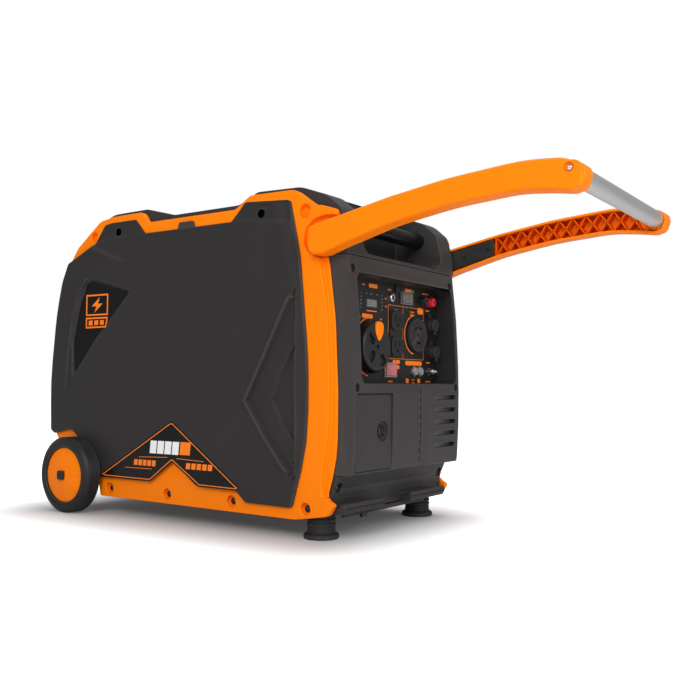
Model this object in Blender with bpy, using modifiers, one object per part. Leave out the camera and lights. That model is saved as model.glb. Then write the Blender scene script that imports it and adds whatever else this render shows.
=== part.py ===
"""Inverter generator with a fold-down tow handle, two wheels and two feet.

Metres, +Z up, +X towards the control panel, -Y is the left side when facing the panel.
Positions in the code are measured from the control end (x = 0 is the plane of the upper
fascia screws); the whole model then moves so that the origin lies on the ground under the
middle of its box.
"""
import math

import bmesh
import bpy
from mathutils import Matrix, Vector

# ---------------------------------------------------------------- driving dimensions
REAR_X = -0.6152            # rearmost corner of the side covers, before it is rounded
TIP_X = 0.3440              # front of the raised tow handle
GAP = 0.0003                # clearance between pieces that touch

BODY_HALF = 0.1530          # half width of the shells between the side frames
FRAME_IN, FRAME_OUT = 0.1535, 0.1640
COVER_IN, COVER_OUT = FRAME_OUT + GAP, 0.1673
WALL = 0.003

GROUND = -0.0045            # height of the ground in the coordinates of this code
WHEEL_X, WHEEL_R = -0.5365, 0.0625
WHEEL_Z = GROUND + WHEEL_R
WHEEL_IN, WHEEL_OUT = 0.1685, 0.2015
HUB_BULGE = 0.0055          # how far a hub's middle stands out beyond its rim
AXLE_R = 0.0060
HUB_R = 0.0443

FOOT_X, FOOT_Y, FOOT_R = -0.0545, 0.1330, 0.0250
PAN_BOTTOM = 0.0420

PIVOT = (-0.0200, 0.4105)   # x, z of the tow handle's hinge
ARM_IN, ARM_OUT = 0.1570, 0.1830
GRIP = (0.3275, 0.4508)     # x, z of the grip tube's centre line
GRIP_R = 0.0121
BOLT_R = 0.0035

FACE_X = -0.0255            # front face of the control panel
FASCIA_BACK = -0.0450
FASCIA_BOTTOM, FASCIA_TOP = 0.0859, 0.3890
WINDOW_Y, WINDOW_Z = (-0.1320, 0.1450), (0.2115, 0.3655)
DOOR_Y, DOOR_Z = (-0.1455, -0.0500), (0.0900, 0.1975)

CRANK = (-0.3600, 0.1700)   # x, z of the crankshaft, which lies along Y
CAP_X, NECK_R = -0.2650, 0.0240
VALLEY_Z = 0.4773           # roof height round the fuel cap

ORANGE = ((0.95, 0.25, 0.01), 0.42, 0.0)
CHARCOAL = ((0.035, 0.034, 0.035), 0.55, 0.0)
BLACK = ((0.012, 0.012, 0.012), 0.5, 0.0)
RUBBER = ((0.015, 0.015, 0.015), 0.75, 0.0)
STEEL = ((0.55, 0.56, 0.58), 0.3, 1.0)
ALLOY = ((0.62, 0.63, 0.64), 0.45, 1.0)
GREY = ((0.3, 0.3, 0.3), 0.5, 0.0)
RED = ((0.6, 0.03, 0.03), 0.4, 0.0)

SIDES = (("left", -1), ("right", 1))


# ---------------------------------------------------------------- scene and helpers
def start():
    """Empty scene with one collection for the parts and one for the cutters."""
    for obj in list(bpy.data.objects):
        bpy.data.objects.remove(obj)
    made = []
    for name in ("inverter_generator", "cutters"):
        collection = bpy.data.collections.new(name)
        bpy.context.scene.collection.children.link(collection)
        made.append(collection)
    return made


PARTS, CUTTERS = start()


def material(name, finish):
    colour, roughness, metallic = finish
    made = bpy.data.materials.new(name + "_material")
    made.use_nodes = True
    shader = made.node_tree.nodes["Principled BSDF"]
    shader.inputs["Base Color"].default_value = (*colour, 1)
    shader.inputs["Roughness"].default_value = roughness
    shader.inputs["Metallic"].default_value = metallic
    return made


def add(name, mesh, finish=None, at=(0, 0, 0), turn=None):
    """Object with its own material, or a hidden cutter when it has no finish."""
    obj = bpy.data.objects.new(name, mesh)
    obj.location = at
    if turn:
        obj.rotation_euler = turn
    if finish:
        PARTS.objects.link(obj)
        mesh.materials.append(material(name, finish))
    else:
        CUTTERS.objects.link(obj)
        obj.hide_render = True
        obj.display_type = "WIRE"
    return obj


def mesh_from(name, work):
    mesh = bpy.data.meshes.new(name)
    work.to_mesh(mesh)
    work.free()
    return mesh


def box(name, low, high, finish=None):
    """Block between two corners, with its origin at its middle."""
    low, high = Vector(low), Vector(high)
    work = bmesh.new()
    bmesh.ops.create_cube(work, size=1)
    bmesh.ops.scale(work, vec=high - low, verts=work.verts)
    return add(name, mesh_from(name, work), finish, (low + high) / 2)


AIM = {"X": (0, math.pi / 2, 0), "Y": (-math.pi / 2, 0, 0), "Z": (0, 0, 0)}


def rod(name, centre, axis, radius, length, finish=None, segments=24, end_radius=None):
    """Cylinder or cone about a main axis, with its origin at its middle."""
    work = bmesh.new()
    bmesh.ops.create_cone(
        work, cap_ends=True, segments=segments, radius1=radius,
        radius2=radius if end_radius is None else end_radius, depth=length)
    mesh = mesh_from(name, work)
    mesh.shade_smooth()
    mesh.set_sharp_from_angle(angle=math.radians(35))
    return add(name, mesh, finish, centre, AIM[axis])


def turned(name, profile, centre, finish, steps=40, axis="Y"):
    """Solid of revolution; the profile's (radius, height) points run down its outer side."""
    mesh = bpy.data.meshes.new(name)
    points = [(radius, 0, height) for radius, height in profile]
    mesh.from_pydata(points, [(i, i + 1) for i in range(len(points) - 1)], [])
    obj = add(name, mesh, finish, centre, AIM[axis])
    screw = obj.modifiers.new("turn", "SCREW")
    screw.steps = screw.render_steps = steps
    screw.use_merge_vertices = True
    screw.merge_threshold = 0.00001
    screw.use_smooth_shade = True
    return obj


def rounded(points, segments=3):
    """Outline of (a, b, radius) corners, with each corner turned into an arc."""
    out = []
    for i, corner in enumerate(points):
        here = Vector(corner[:2])
        radius = corner[2] if len(corner) > 2 else 0
        before = Vector(points[i - 1][:2]) - here
        after = Vector(points[(i + 1) % len(points)][:2]) - here
        if radius <= 0:
            out.append(tuple(here))
            continue
        bend = math.pi - before.angle(after)
        reach = min(radius * math.tan(bend / 2), before.length * 0.48, after.length * 0.48)
        radius = reach / math.tan(bend / 2)
        middle = (before.normalized() + after.normalized()).normalized()
        centre = here + middle * radius / math.cos(bend / 2)
        first = here + before.normalized() * reach - centre
        turn = math.copysign(bend, before.x * after.y - before.y * after.x) * -1
        count = max(1, min(segments, math.ceil(bend / 0.35)))
        for k in range(count + 1):
            out.append(tuple(centre + Matrix.Rotation(turn * k / count, 2) @ first))
    return out


def circle(a, b, radius, count=16):
    return [(a + radius * math.cos(math.tau * k / count), b + radius * math.sin(math.tau * k / count))
            for k in range(count)]


PLANE = {
    "XZ": Matrix(((1, 0, 0), (0, 0, -1), (0, 1, 0))),
    "YZ": Matrix(((0, 0, 1), (1, 0, 0), (0, 1, 0))),
    "XY": Matrix.Identity(3),
}


def plate(name, loops, low, high, finish=None, plane="XZ"):
    """Flat outline with holes, extruded between two offsets from its plane, as a mesh."""
    curve = bpy.data.curves.new(name, "CURVE")
    curve.dimensions = "2D"
    curve.fill_mode = "BOTH"
    curve.extrude = abs(high - low) / 2
    for loop in loops:
        spline = curve.splines.new("POLY")
        spline.points.add(len(loop) - 1)
        for point, (a, b) in zip(spline.points, loop):
            point.co = (a, b, 0, 1)
        spline.use_cyclic_u = True
    holder = bpy.data.objects.new(name + "_outline", curve)
    CUTTERS.objects.link(holder)
    mesh = as_mesh(name, holder)
    rotate = PLANE[plane].to_4x4()
    normal = rotate @ Vector((0, 0, 1))
    mesh.transform(rotate)
    middle = (low + high) / 2
    place = Vector([abs(c) * middle for c in normal])
    mesh.transform(Matrix.Translation(place))
    return add(name, mesh, finish)


def as_mesh(name, holder):
    """The evaluated curve as a closed mesh with its caps welded; the curve is removed."""
    graph = bpy.context.evaluated_depsgraph_get()
    raw = bpy.data.meshes.new_from_object(holder.evaluated_get(graph))
    work = bmesh.new()
    work.from_mesh(raw)
    bmesh.ops.remove_doubles(work, verts=work.verts, dist=0.00001)
    bmesh.ops.dissolve_limit(work, angle_limit=0.001, verts=work.verts, edges=work.edges)
    bmesh.ops.recalc_face_normals(work, faces=work.faces)
    mesh = mesh_from(name, work)
    bpy.data.objects.remove(holder)
    return mesh


def cut(obj, *cutters, operation="DIFFERENCE"):
    for cutter in cutters:
        step = obj.modifiers.new(cutter.name, "BOOLEAN")
        step.operation = operation
        step.solver = "EXACT"
        step.object = cutter
        cutter.hide_render = True
        cutter.display_type = "WIRE"
    return obj


def join(obj, *pieces):
    return cut(obj, *pieces, operation="UNION")


def soften(obj, width, segments=2, angle=40):
    step = obj.modifiers.new("soft_edges", "BEVEL")
    step.width = width
    step.segments = segments
    step.limit_method = "ANGLE"
    step.angle_limit = math.radians(angle)
    return obj


def hang(obj, point):
    """Put the object's origin on its joint's axis; its shape stays where it is."""
    local = obj.matrix_basis.inverted() @ Vector(point)
    obj.data.transform(Matrix.Translation(-local))
    obj.location = point
    return obj


def slab_corners(y_low, y_high, z_low, z_high, radius):
    return [(y_low, z_low, radius), (y_high, z_low, radius),
            (y_high, z_high, radius), (y_low, z_high, radius)]


def span(side, near, far):
    """Low and high offsets of a layer between two half widths on one side."""
    return (near, far) if side > 0 else (-far, -near)


# ---------------------------------------------------------------- side frames and covers
FRAME_OUTLINE = [
    (-0.5725, 0.4161, 0.006), (-0.5530, 0.4415, 0.03), (-0.4960, 0.4815, 0.03),
    (-0.4600, 0.4860, 0.05), (-0.3953, 0.4865, 0.012), (-0.3825, 0.4685, 0.012),
    (-0.1947, 0.4685, 0.012), (-0.1650, 0.4865, 0.015), (-0.0820, 0.4850, 0.03),
    (-0.0451, 0.4590, 0.010), (-0.0345, 0.4575, 0.006), (-0.0125, 0.4505, 0.004),
    (-0.0090, 0.4405, 0.002), (-0.0110, 0.4350, 0.002), (-0.0300, 0.4310, 0.004),
    (-0.0300, 0.3900, 0.004), (-0.0262, 0.3740, 0.006), (-0.0165, 0.3000, 0.3), (-0.0115, 0.2000, 0.3),
    (-0.0120, 0.1100, 0.2), (-0.0280, 0.0550, 0.02), (-0.0125, 0.0470, 0.003),
    (-0.0220, 0.0310, 0.012), (-0.0774, 0.0221, 0.08), (-0.4854, 0.0247, 0.003),
    (-0.4930, 0.0575, 0.003), (-0.5030, 0.0575, 0.003), (-0.5080, 0.0420, 0.012),
    (-0.5650, 0.0420, 0.02), (-0.5955, 0.1100, 0.03), (-0.6090, 0.1330, 0.02),
    (-0.6085, 0.2134, 0.4), (-0.5935, 0.3336, 0.4), (-0.5815, 0.3736, 0.1),
]
FRAME_WINDOW = [
    (-0.5550, 0.4050, 0.02), (-0.5000, 0.4300, 0.01), (-0.4750, 0.4520, 0.01),
    (-0.4100, 0.4520, 0.01), (-0.3900, 0.4370, 0.01), (-0.1900, 0.4370, 0.01),
    (-0.1650, 0.4550, 0.01), (-0.1070, 0.4520, 0.01), (-0.0850, 0.3900, 0.2),
    (-0.0690, 0.2300, 0.4), (-0.0720, 0.1150, 0.1), (-0.0850, 0.0750, 0.01),
    (-0.2500, 0.0750, 0.01), (-0.3000, 0.1050, 0.02), (-0.3400, 0.1050, 0.02),
    (-0.3800, 0.0750, 0.01), (-0.4750, 0.0750, 0.01), (-0.5050, 0.1250, 0.03),
    (-0.5400, 0.1450, 0.03), (-0.5900, 0.1450, 0.01), (-0.5935, 0.2150, 0.3),
    (-0.5760, 0.3400, 0.3),
]
ARM_POCKET = [
    (0.0100, 0.4405), (-0.0092, 0.4415, 0.003), (-0.0300, 0.4435, 0.02), (-0.0490, 0.4395, 0.02),
    (-0.0640, 0.4270, 0.02), (-0.0665, 0.4070, 0.02), (-0.0590, 0.3935, 0.015),
    (-0.0420, 0.3858, 0.010), (0.0100, 0.3850),
]
RAIL_STEP = [               # the band in front of this line is lower: the folded arm lies over it
    (-0.0400, 0.3870), (-0.0340, 0.3600, 0.05), (-0.0262, 0.3239, 0.2), (-0.0205, 0.2236, 0.3),
    (-0.0221, 0.1386, 0.2), (-0.0323, 0.0884, 0.05), (-0.0332, 0.0663, 0.02), (-0.0300, 0.0560),
    (0.0200, 0.0560), (0.0200, 0.3870),
]
STEP_LEVEL, POCKET_LEVEL = 0.1566, 0.1553
COVER_OUTLINE = [
    (-0.5720, 0.4165, 0.006), (-0.5075, 0.4437, 0.02), (-0.4830, 0.4735, 0.01),
    (-0.4690, 0.4755, 0.01), (-0.4080, 0.4755, 0.008), (-0.3851, 0.4510, 0.006),
    (-0.1998, 0.4505, 0.006), (-0.1740, 0.4770, 0.008), (-0.0952, 0.4715, 0.006),
    (-0.0876, 0.4684, 0.003), (-0.0700, 0.3900, 0.3), (-0.0550, 0.2400, 0.5),
    (-0.0550, 0.1300, 0.3), (-0.0810, 0.0385, 0.006), (-0.1649, 0.0395, 0.006),
    (-0.1830, 0.0550, 0.006), (-0.2620, 0.0561, 0.01), (-0.3090, 0.0885, 0.01),
    (-0.3290, 0.0885, 0.01), (-0.3730, 0.0561, 0.01), (-0.4920, 0.0561, 0.004),
    (-0.5100, 0.0980, 0.06), (-0.5560, 0.1330, 0.02), (-0.6025, 0.1233, 0.006),
    (-0.6120, 0.1290, 0.006), (REAR_X, 0.2134, 0.5), (-0.6015, 0.3300, 0.4),
    (-0.5885, 0.3830, 0.08),
]
SILL_SCREWS = (-0.4667, -0.3332, -0.1998, -0.0600)


def side_frame(label, side):
    """Orange moulding round one side: sill, front rail, horn, wheel leg and top rail."""
    name = "side_frame_" + label
    frame = plate(name, [rounded(FRAME_OUTLINE), rounded(FRAME_WINDOW)],
                  *span(side, FRAME_IN, FRAME_OUT), ORANGE)
    pocket = plate("pocket_" + label, [rounded(ARM_POCKET)], *span(side, POCKET_LEVEL, 0.18))
    step = plate("step_" + label, [rounded(RAIL_STEP)], *span(side, STEP_LEVEL, 0.18))
    bore = rod("axle_bore_" + label, (WHEEL_X, side * 0.16, WHEEL_Z), "Y", AXLE_R + GAP, 0.05)
    cut(frame, pocket, step, bore)
    for k, x in enumerate(SILL_SCREWS):
        cut(frame, rod("sill_hole_%s_%d" % (label, k), (x, side * FRAME_OUT, 0.0383), "Y",
                       0.0085, 0.010, segments=12))
    return frame


def side_cover(label, side):
    """Dark panel that closes one side frame, with a rim and a raised middle."""
    name = "side_cover_" + label
    cover = plate(name, [rounded(COVER_OUTLINE)], *span(side, COVER_IN, COVER_OUT), CHARCOAL)
    if side > 0:
        cut(cover, rod("rope_hole", (CRANK[0] + 0.035, COVER_IN, 0.225), "Y", 0.004, 0.02, segments=16))
    return cover


def build_sides():
    for label, side in SIDES:
        side_frame(label, side)
        side_cover(label, side)


# ---------------------------------------------------------------- shells between the frames
TOP_PROFILE = [
    (-0.5665, 0.4180), (-0.5530, 0.4430, 0.03), (-0.5075, 0.4790, 0.02), (-0.4750, 0.4925, 0.05),
    (-0.3950, 0.4930, 0.02), (-0.3324, 0.4773, 0.02), (-0.1972, 0.4775, 0.02),
    (-0.1600, 0.4930, 0.02), (-0.0800, 0.4905, 0.04), (-0.0330, 0.4740, 0.04),
    (-0.0080, 0.4525, 0.02), (0.0010, 0.4180, 0.06), (0.0022, 0.3895), (FASCIA_BACK, 0.3895),
    (-0.0900, 0.3895), (-0.0900, 0.4435), (-0.5000, 0.4435), (-0.5300, 0.4180),
]
TOP_CAVITY = [
    (-0.5620, 0.4000), (-0.5490, 0.4400), (-0.5050, 0.4755, 0.02), (-0.4740, 0.4893, 0.05),
    (-0.3957, 0.4898, 0.02), (-0.3330, 0.4741, 0.02), (-0.1966, 0.4743, 0.02),
    (-0.1594, 0.4898, 0.02), (-0.0925, 0.4880, 0.01), (-0.0930, 0.4000),
]
POCKET_Y, POCKET_BACK, POCKET_BOTTOM = 0.1130, -0.0850, 0.3945
BAR = (-0.0425, 0.4490, 0.0125)     # x, z and radius of the carry bar


def top_shell():
    """Roof moulding: two ridges, a valley for the fuel cap and the carry pocket."""
    shell = plate("top_shell", [rounded(TOP_PROFILE)], -BODY_HALF, BODY_HALF, CHARCOAL)
    inside = plate("top_cavity", [rounded(TOP_CAVITY)], WALL - BODY_HALF, BODY_HALF - WALL)
    pocket = plate(
        "carry_pocket",
        [rounded(slab_corners(-POCKET_Y, POCKET_Y, POCKET_BOTTOM, 0.60, 0.018))],
        POCKET_BACK, 0.05, plane="YZ")
    filler = rod("filler_hole", (CAP_X, 0, 0.47), "Z", NECK_R + 0.004, 0.05, segments=32)
    cut(shell, inside, pocket, filler)
    for label, side in SIDES:
        cut(shell, rod("hinge_hole_" + label, (PIVOT[0], side * BODY_HALF, PIVOT[1]), "Y",
                       BOLT_R + GAP, 0.040, segments=16))
    return shell


def carry_handle():
    x, z, radius = BAR
    return rod("carry_handle", (x, 0, z), "Y", radius, 2 * (POCKET_Y - GAP), BLACK, 32)


FASCIA_FACE = [
    (0.0000, FASCIA_TOP), (0.0022, 0.3667, 0.2), (0.0076, 0.3168, 0.3), (0.0114, 0.2428, 0.3),
    (0.0124, 0.1937, 0.3), (0.0120, 0.1447, 0.2), (0.0098, 0.1000, 0.05), (0.0088, 0.0880, 0.0015),
    (0.0065, FASCIA_BOTTOM),
]
SCREW_SPOTS = ((0.1403, 0.3706), (0.1428, 0.2060), (0.1411, 0.0680))
LOUVRE_Z = (0.1904, 0.1709, 0.1522, 0.1343, 0.1156)
LOUVRE_Y = (0.0740, 0.1410)


def front_fascia():
    """Bowed front moulding with a deep window, a door opening and louvres."""
    profile = rounded(FASCIA_FACE + [(FASCIA_BACK, FASCIA_BOTTOM), (FASCIA_BACK, FASCIA_TOP)])
    fascia = plate("front_fascia", [profile], -BODY_HALF, BODY_HALF, CHARCOAL)
    hollow = box("fascia_hollow", (-0.06, WALL - BODY_HALF, FASCIA_BOTTOM + WALL),
                 (-0.0035, BODY_HALF - WALL, FASCIA_TOP - WALL))
    window = slab_corners(*WINDOW_Y, *WINDOW_Z, 0.012)
    grown = slab_corners(WINDOW_Y[0] - WALL, WINDOW_Y[1] + WALL, WINDOW_Z[0] - WALL,
                         WINDOW_Z[1] + WALL, 0.015)
    keep = plate("window_walls", [rounded(grown)], FACE_X + GAP, 0.02, plane="YZ")
    cut(hollow, keep)
    cut(fascia, hollow, plate("window", [rounded(window)], -0.08, 0.05, plane="YZ"),
        plate("door_opening", [rounded(slab_corners(*DOOR_Y, *DOOR_Z, 0.004))], -0.08, 0.05, plane="YZ"))
    for k, z in enumerate(LOUVRE_Z):
        slot = slab_corners(*LOUVRE_Y, z - 0.0035, z + 0.0035, 0.0034)
        cut(fascia, plate("louvre_%d" % k, [rounded(slot)], -0.03, 0.05, plane="YZ"))
    for label, side in SIDES:
        for k, (y, z) in enumerate(SCREW_SPOTS[:2]):
            cut(fascia, rod("screw_seat_%s_%d" % (label, k), (0.008, side * y, z), "X", 0.0065,
                            0.022, segments=16))
    return fascia


ROCKERS = {                 # y and z of the middle, width, height
    "eco_switch": (0.0480, 0.3451, 0.0300, 0.0150),
    "start_switch": (0.0010, 0.2324, 0.0280, 0.0175),
}
BREAKER_Y, BREAKER_Z, BREAKER_R = (0.0706, 0.0876), 0.2312, 0.0065
DIAL = (-0.0553, 0.2652, 0.0383)    # y, z and radius
BUTTON = (0.0187, 0.3579, 0.0100)   # y, z and width of the small square push button


def control_panel():
    """Plate behind the fascia's window, with openings for what is pushed or turned."""
    outline = rounded(slab_corners(WINDOW_Y[0] - 0.012, WINDOW_Y[1] + 0.004,
                                   WINDOW_Z[0] - 0.010, WINDOW_Z[1] + 0.012, 0.006))
    holes = []
    for y, z, width, height in ROCKERS.values():
        holes.append(rounded(slab_corners(y - width / 2 - 0.0006, y + width / 2 + 0.0006,
                                          z - height / 2 - 0.0006, z + height / 2 + 0.0006, 0.001)))
    holes += [circle(y, BREAKER_Z, BREAKER_R + 0.0005) for y in BREAKER_Y]
    holes.append(circle(DIAL[0], DIAL[1], 0.0055))
    half = BUTTON[2] / 2 + 0.0004
    holes.append(rounded(slab_corners(BUTTON[0] - half, BUTTON[0] + half,
                                      BUTTON[1] - half, BUTTON[1] + half, 0.001)))
    return plate("control_panel", [outline] + holes, FACE_X - 0.0025, FACE_X, CHARCOAL, plane="YZ")


SKIRT_PROFILE = [
    (FASCIA_BACK, 0.0855), (-0.0115, 0.0855), (-0.0200, 0.0660), (-0.0225, 0.0550),
    (-0.0225, 0.0330), (-0.0290, 0.0330), (-0.0290, 0.0560), (-0.0280, 0.0660),
    (-0.0230, 0.0800), (FASCIA_BACK, 0.0800),
]
CRADLE_PROFILE = [
    (-0.0250, 0.0330), (-0.0040, 0.0335, 0.004), (0.0000, 0.0410, 0.004), (-0.0020, 0.0478, 0.003),
    (-0.0080, 0.0478, 0.002), (-0.0110, 0.0420, 0.004), (-0.0200, 0.0420, 0.003), (-0.0250, 0.0500),
]
CRADLE_Y = ((-0.1525, -0.0510), (0.0255, 0.1290))


def front_skirt():
    """Apron under the fascia; its two troughs hold the folded grip tube."""
    skirt = plate("front_skirt", [SKIRT_PROFILE], -0.1525, 0.1525, CHARCOAL)
    for k, (low, high) in enumerate(CRADLE_Y):
        join(skirt, plate("cradle_%d" % k, [rounded(CRADLE_PROFILE)], low, high))
    join(skirt, box("skirt_apron", (-0.0285, -0.1220, 0.0250), (-0.0235, 0.1020, 0.0400)))
    join(skirt, box("skirt_lug", (-0.0280, -0.0770, 0.0204), (-0.0230, -0.0640, 0.0400)))
    for label, side in SIDES:
        cut(skirt, rod("skirt_screw_" + label, (-0.020, side * SCREW_SPOTS[2][0], SCREW_SPOTS[2][1]),
                       "X", 0.0065, 0.007, segments=16))
    return skirt


REAR_OUTER = [
    (-0.5668, 0.4177), (-0.5765, 0.3960, 0.05), (-0.5870, 0.3660, 0.1), (-0.6020, 0.2800, 0.3),
    (-0.6080, 0.2050, 0.3), (-0.6055, 0.1300, 0.05), (-0.5930, 0.0783),
]
REAR_INNER = [
    (-0.5900, 0.0783), (-0.6025, 0.1305, 0.05), (-0.6050, 0.2050, 0.3), (-0.5990, 0.2795, 0.3),
    (-0.5840, 0.3650, 0.1), (-0.5737, 0.3945, 0.05), (-0.5640, 0.4177),
]
EXHAUST = (0.0550, 0.2600, 0.0300)  # y, z and radius of the outlet in the rear panel
EXHAUST_X = -0.6110         # its rearmost face
REAR_LOUVRES = tuple(0.16 + 0.022 * k for k in range(8))


def rear_panel():
    panel = plate("rear_panel", [rounded(REAR_OUTER + REAR_INNER)], -BODY_HALF, BODY_HALF, CHARCOAL)
    y, z, radius = EXHAUST
    cut(panel, rod("exhaust_hole", (-0.61, y, z), "X", radius + 0.0015, 0.06, segments=32))
    for k, height in enumerate(REAR_LOUVRES):
        cut(panel, box("rear_louvre_%d" % k, (-0.64, -0.125, height), (-0.57, -0.005, height + 0.009)))
    return panel


def exhaust_outlet():
    """Spark arrester cup: a rimmed tube whose end is closed by a slotted disc."""
    y, z, radius = EXHAUST
    cup = turned("exhaust_outlet",
                 [(0, 0.006), (radius - 0.004, 0.006), (radius - 0.003, 0.002), (radius - 0.003, 0.0),
                  (radius, 0.0), (radius, 0.024), (radius - 0.002, 0.024), (radius - 0.0045, 0.009),
                  (0, 0.009)][::-1], (EXHAUST_X, y, z), STEEL, 20, "X")
    for k in range(-1, 2):
        half = 0.019 - 0.003 * abs(k)
        cut(cup, box("arrester_slot_%d" % (k + 1), (-0.64, y - half, z + 0.0100 * k - 0.0020),
                     (-0.59, y + half, z + 0.0100 * k + 0.0020)))
    return cup


def base_pan():
    """Open tray that carries the engine; its front and rear edges hold feet and axle."""
    low, high = Vector((-0.5900, -BODY_HALF, PAN_BOTTOM)), Vector((-0.0480, BODY_HALF, 0.0780))
    pan = box("base_pan", low, high, BLACK)
    wall = Vector((WALL, WALL, WALL))
    inside = box("pan_inside", low + wall, high - wall + Vector((0, 0, 0.02)))
    cut(pan, inside)
    saddle = box("axle_saddle", (WHEEL_X - 0.018, -BODY_HALF, PAN_BOTTOM + 0.0005),
                 (WHEEL_X + 0.018, BODY_HALF, 0.0755))
    join(pan, saddle)
    cut(pan, rod("axle_tunnel", (WHEEL_X, 0, WHEEL_Z), "Y", AXLE_R + GAP, 0.4))
    return pan


def build_shells():
    top_shell()
    carry_handle()
    front_fascia()
    control_panel()
    front_skirt()
    rear_panel()
    exhaust_outlet()
    base_pan()


# ---------------------------------------------------------------- wheels, axle and feet
TYRE_PROFILE = [(HUB_R + 0.0010, 0.0140), (0.0480, 0.0158), (0.0525, 0.0165), (0.0570, 0.0150),
                (0.0608, 0.0105), (WHEEL_R, 0.0045)]
HUB_FACE = 0.0122           # hub's rim over the wheel's middle plane


def wheel(label, side):
    """Solid rubber tyre on a hub whose face is a shallow cone, free on the axle's end."""
    centre = (WHEEL_X, side * (WHEEL_IN + WHEEL_OUT) / 2, WHEEL_Z)
    half = TYRE_PROFILE + [(radius, -height) for radius, height in reversed(TYRE_PROFILE)]
    turned("tyre_" + label, half + [half[0]], centre, RUBBER, 28)
    face, back = HUB_FACE + HUB_BULGE, -0.0140
    bore = AXLE_R + GAP
    profile = [(bore, face), (0.0120, face), (HUB_R - 0.001, HUB_FACE + 0.0008), (HUB_R + 0.0007, HUB_FACE),
               (HUB_R + 0.0007, back), (bore, back), (bore, face)]
    if side < 0:
        profile = [(radius, -height) for radius, height in reversed(profile)]
    turned("hub_" + label, profile, centre, ORANGE, 24)
    cap = box("axle_cap_" + label, (-0.0085, -0.0015, -0.0085), (0.0085, 0.0015, 0.0085), BLACK)
    cap.location = (WHEEL_X, side * (centre[1] * side + face + 0.0023), WHEEL_Z)
    soften(cap, 0.0025, 1)
    cut(cap, rod("cap_bore_" + label, (WHEEL_X, cap.location.y - side * 0.001, WHEEL_Z), "Y",
                 AXLE_R + GAP, 0.0024, segments=24))


def foot(label, side):
    """Rubber foot: a round column on a wider round pad under the pan's front corner."""
    top, pad = PAN_BOTTOM - GAP, 0.0060
    profile = [(0.0, top), (0.0205, top), (0.0205, GROUND + pad + 0.003), (FOOT_R - 0.001, GROUND + pad),
               (FOOT_R, GROUND + pad - 0.001), (FOOT_R, GROUND + 0.001), (FOOT_R - 0.001, GROUND),
               (0.0, GROUND)]
    return turned("foot_" + label, profile, (FOOT_X, side * FOOT_Y, 0), RUBBER, 20, "Z")


def build_running_gear():
    half = (WHEEL_IN + WHEEL_OUT) / 2 + HUB_FACE + HUB_BULGE + 0.0018
    rod("axle", (WHEEL_X, 0, WHEEL_Z), "Y", AXLE_R, 2 * half, STEEL, 24)
    for label, side in SIDES:
        wheel(label, side)
        foot(label, side)


# ---------------------------------------------------------------- tow handle
ARM_TOP = [
    (-0.0330, 0.4290, 0.0160), (0.0850, 0.4525, 0.4), (0.1700, 0.4655, 0.5), (0.2700, 0.4740, 0.4),
    (0.3170, 0.4700, 0.05), (TIP_X - 0.002, 0.4590, 0.008), (TIP_X, 0.4490, 0.008),
    (0.3390, 0.4345, 0.010), (0.3260, 0.4305, 0.012),
]
ARM_BOTTOM = [
    (0.2985, 0.4345, 0.08), (0.2600, 0.4385, 0.3), (0.1700, 0.4315, 0.5), (0.0850, 0.4172, 0.4),
    (0.0045, 0.3955, 0.2), (-0.0220, 0.3868, 0.010), (-0.0465, 0.3868, 0.0140),
]
ARM_END = (-0.0470, 0.4260, 0.0160)
ARM_WALL = 0.0032
PLATE_OUTLINE = [
    (-0.0405, 0.3990, 0.010), (-0.0405, 0.4180, 0.010), (-0.0300, 0.4245, 0.010),
    (0.0720, 0.4450, 0.004), (0.0720, 0.4190, 0.004), (0.0050, 0.4015, 0.1), (-0.0220, 0.3925, 0.006),
    (-0.0340, 0.3925, 0.006),
]
PLATE_SCREWS = ((0.0212, 0.4225), (0.0640, 0.4330))


def inset(points, distance):
    """Outline moved inwards by the same distance all round."""
    out = []
    for i, point in enumerate(points):
        here = Vector(point)
        before = (here - Vector(points[i - 1])).normalized()
        after = (Vector(points[(i + 1) % len(points)]) - here).normalized()
        normal = Vector((before.y + after.y, -before.x - after.x))
        scale = max(0.5, (1 + before.dot(after)) / 2) ** 0.5
        out.append(tuple(here + normal.normalized() * distance / scale))
    return out


def handle_arm(label, side):
    """Plastic channel, open towards the body, stiffened by crossing ribs."""
    outline = rounded(ARM_TOP + ARM_BOTTOM + [ARM_END])
    arm = plate("handle_arm_" + label, [outline], *span(side, ARM_IN, ARM_OUT), ORANGE)
    channel = plate("arm_channel_" + label, [inset(outline, ARM_WALL)],
                    *span(side, 0.15, ARM_OUT - ARM_WALL))
    notch = rod("arm_notch_" + label, (PIVOT[0], side * 0.163, PIVOT[1]), "Y", 0.0105, 0.018,
                segments=24)
    cut(arm, channel, notch)
    socket = rod("grip_boss_" + label, (GRIP[0], side * 0.1707, GRIP[1]), "Y", GRIP_R + 0.0022, 0.0230,
                 segments=32)
    join(arm, socket)
    cut(arm, rod("grip_socket_" + label, (GRIP[0], side * 0.158, GRIP[1]), "Y", GRIP_R + 0.0002, 0.0320))
    return hang(arm, (PIVOT[0], side * ARM_IN, PIVOT[1]))


def hinge_bracket(label, side):
    """Steel strap inside the arm that carries it on the hinge bolt."""
    holes = [circle(*PIVOT, BOLT_R + 0.0003, 24)]
    holes += [circle(x, z, 0.0022, 12) for x, z in PLATE_SCREWS]
    strap = plate("hinge_bracket_" + label, [rounded(PLATE_OUTLINE)] + holes,
                  *span(side, ARM_IN + 0.0005, ARM_IN + 0.0035), BLACK)
    return hang(strap, (PIVOT[0], side * ARM_IN, PIVOT[1]))


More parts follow.
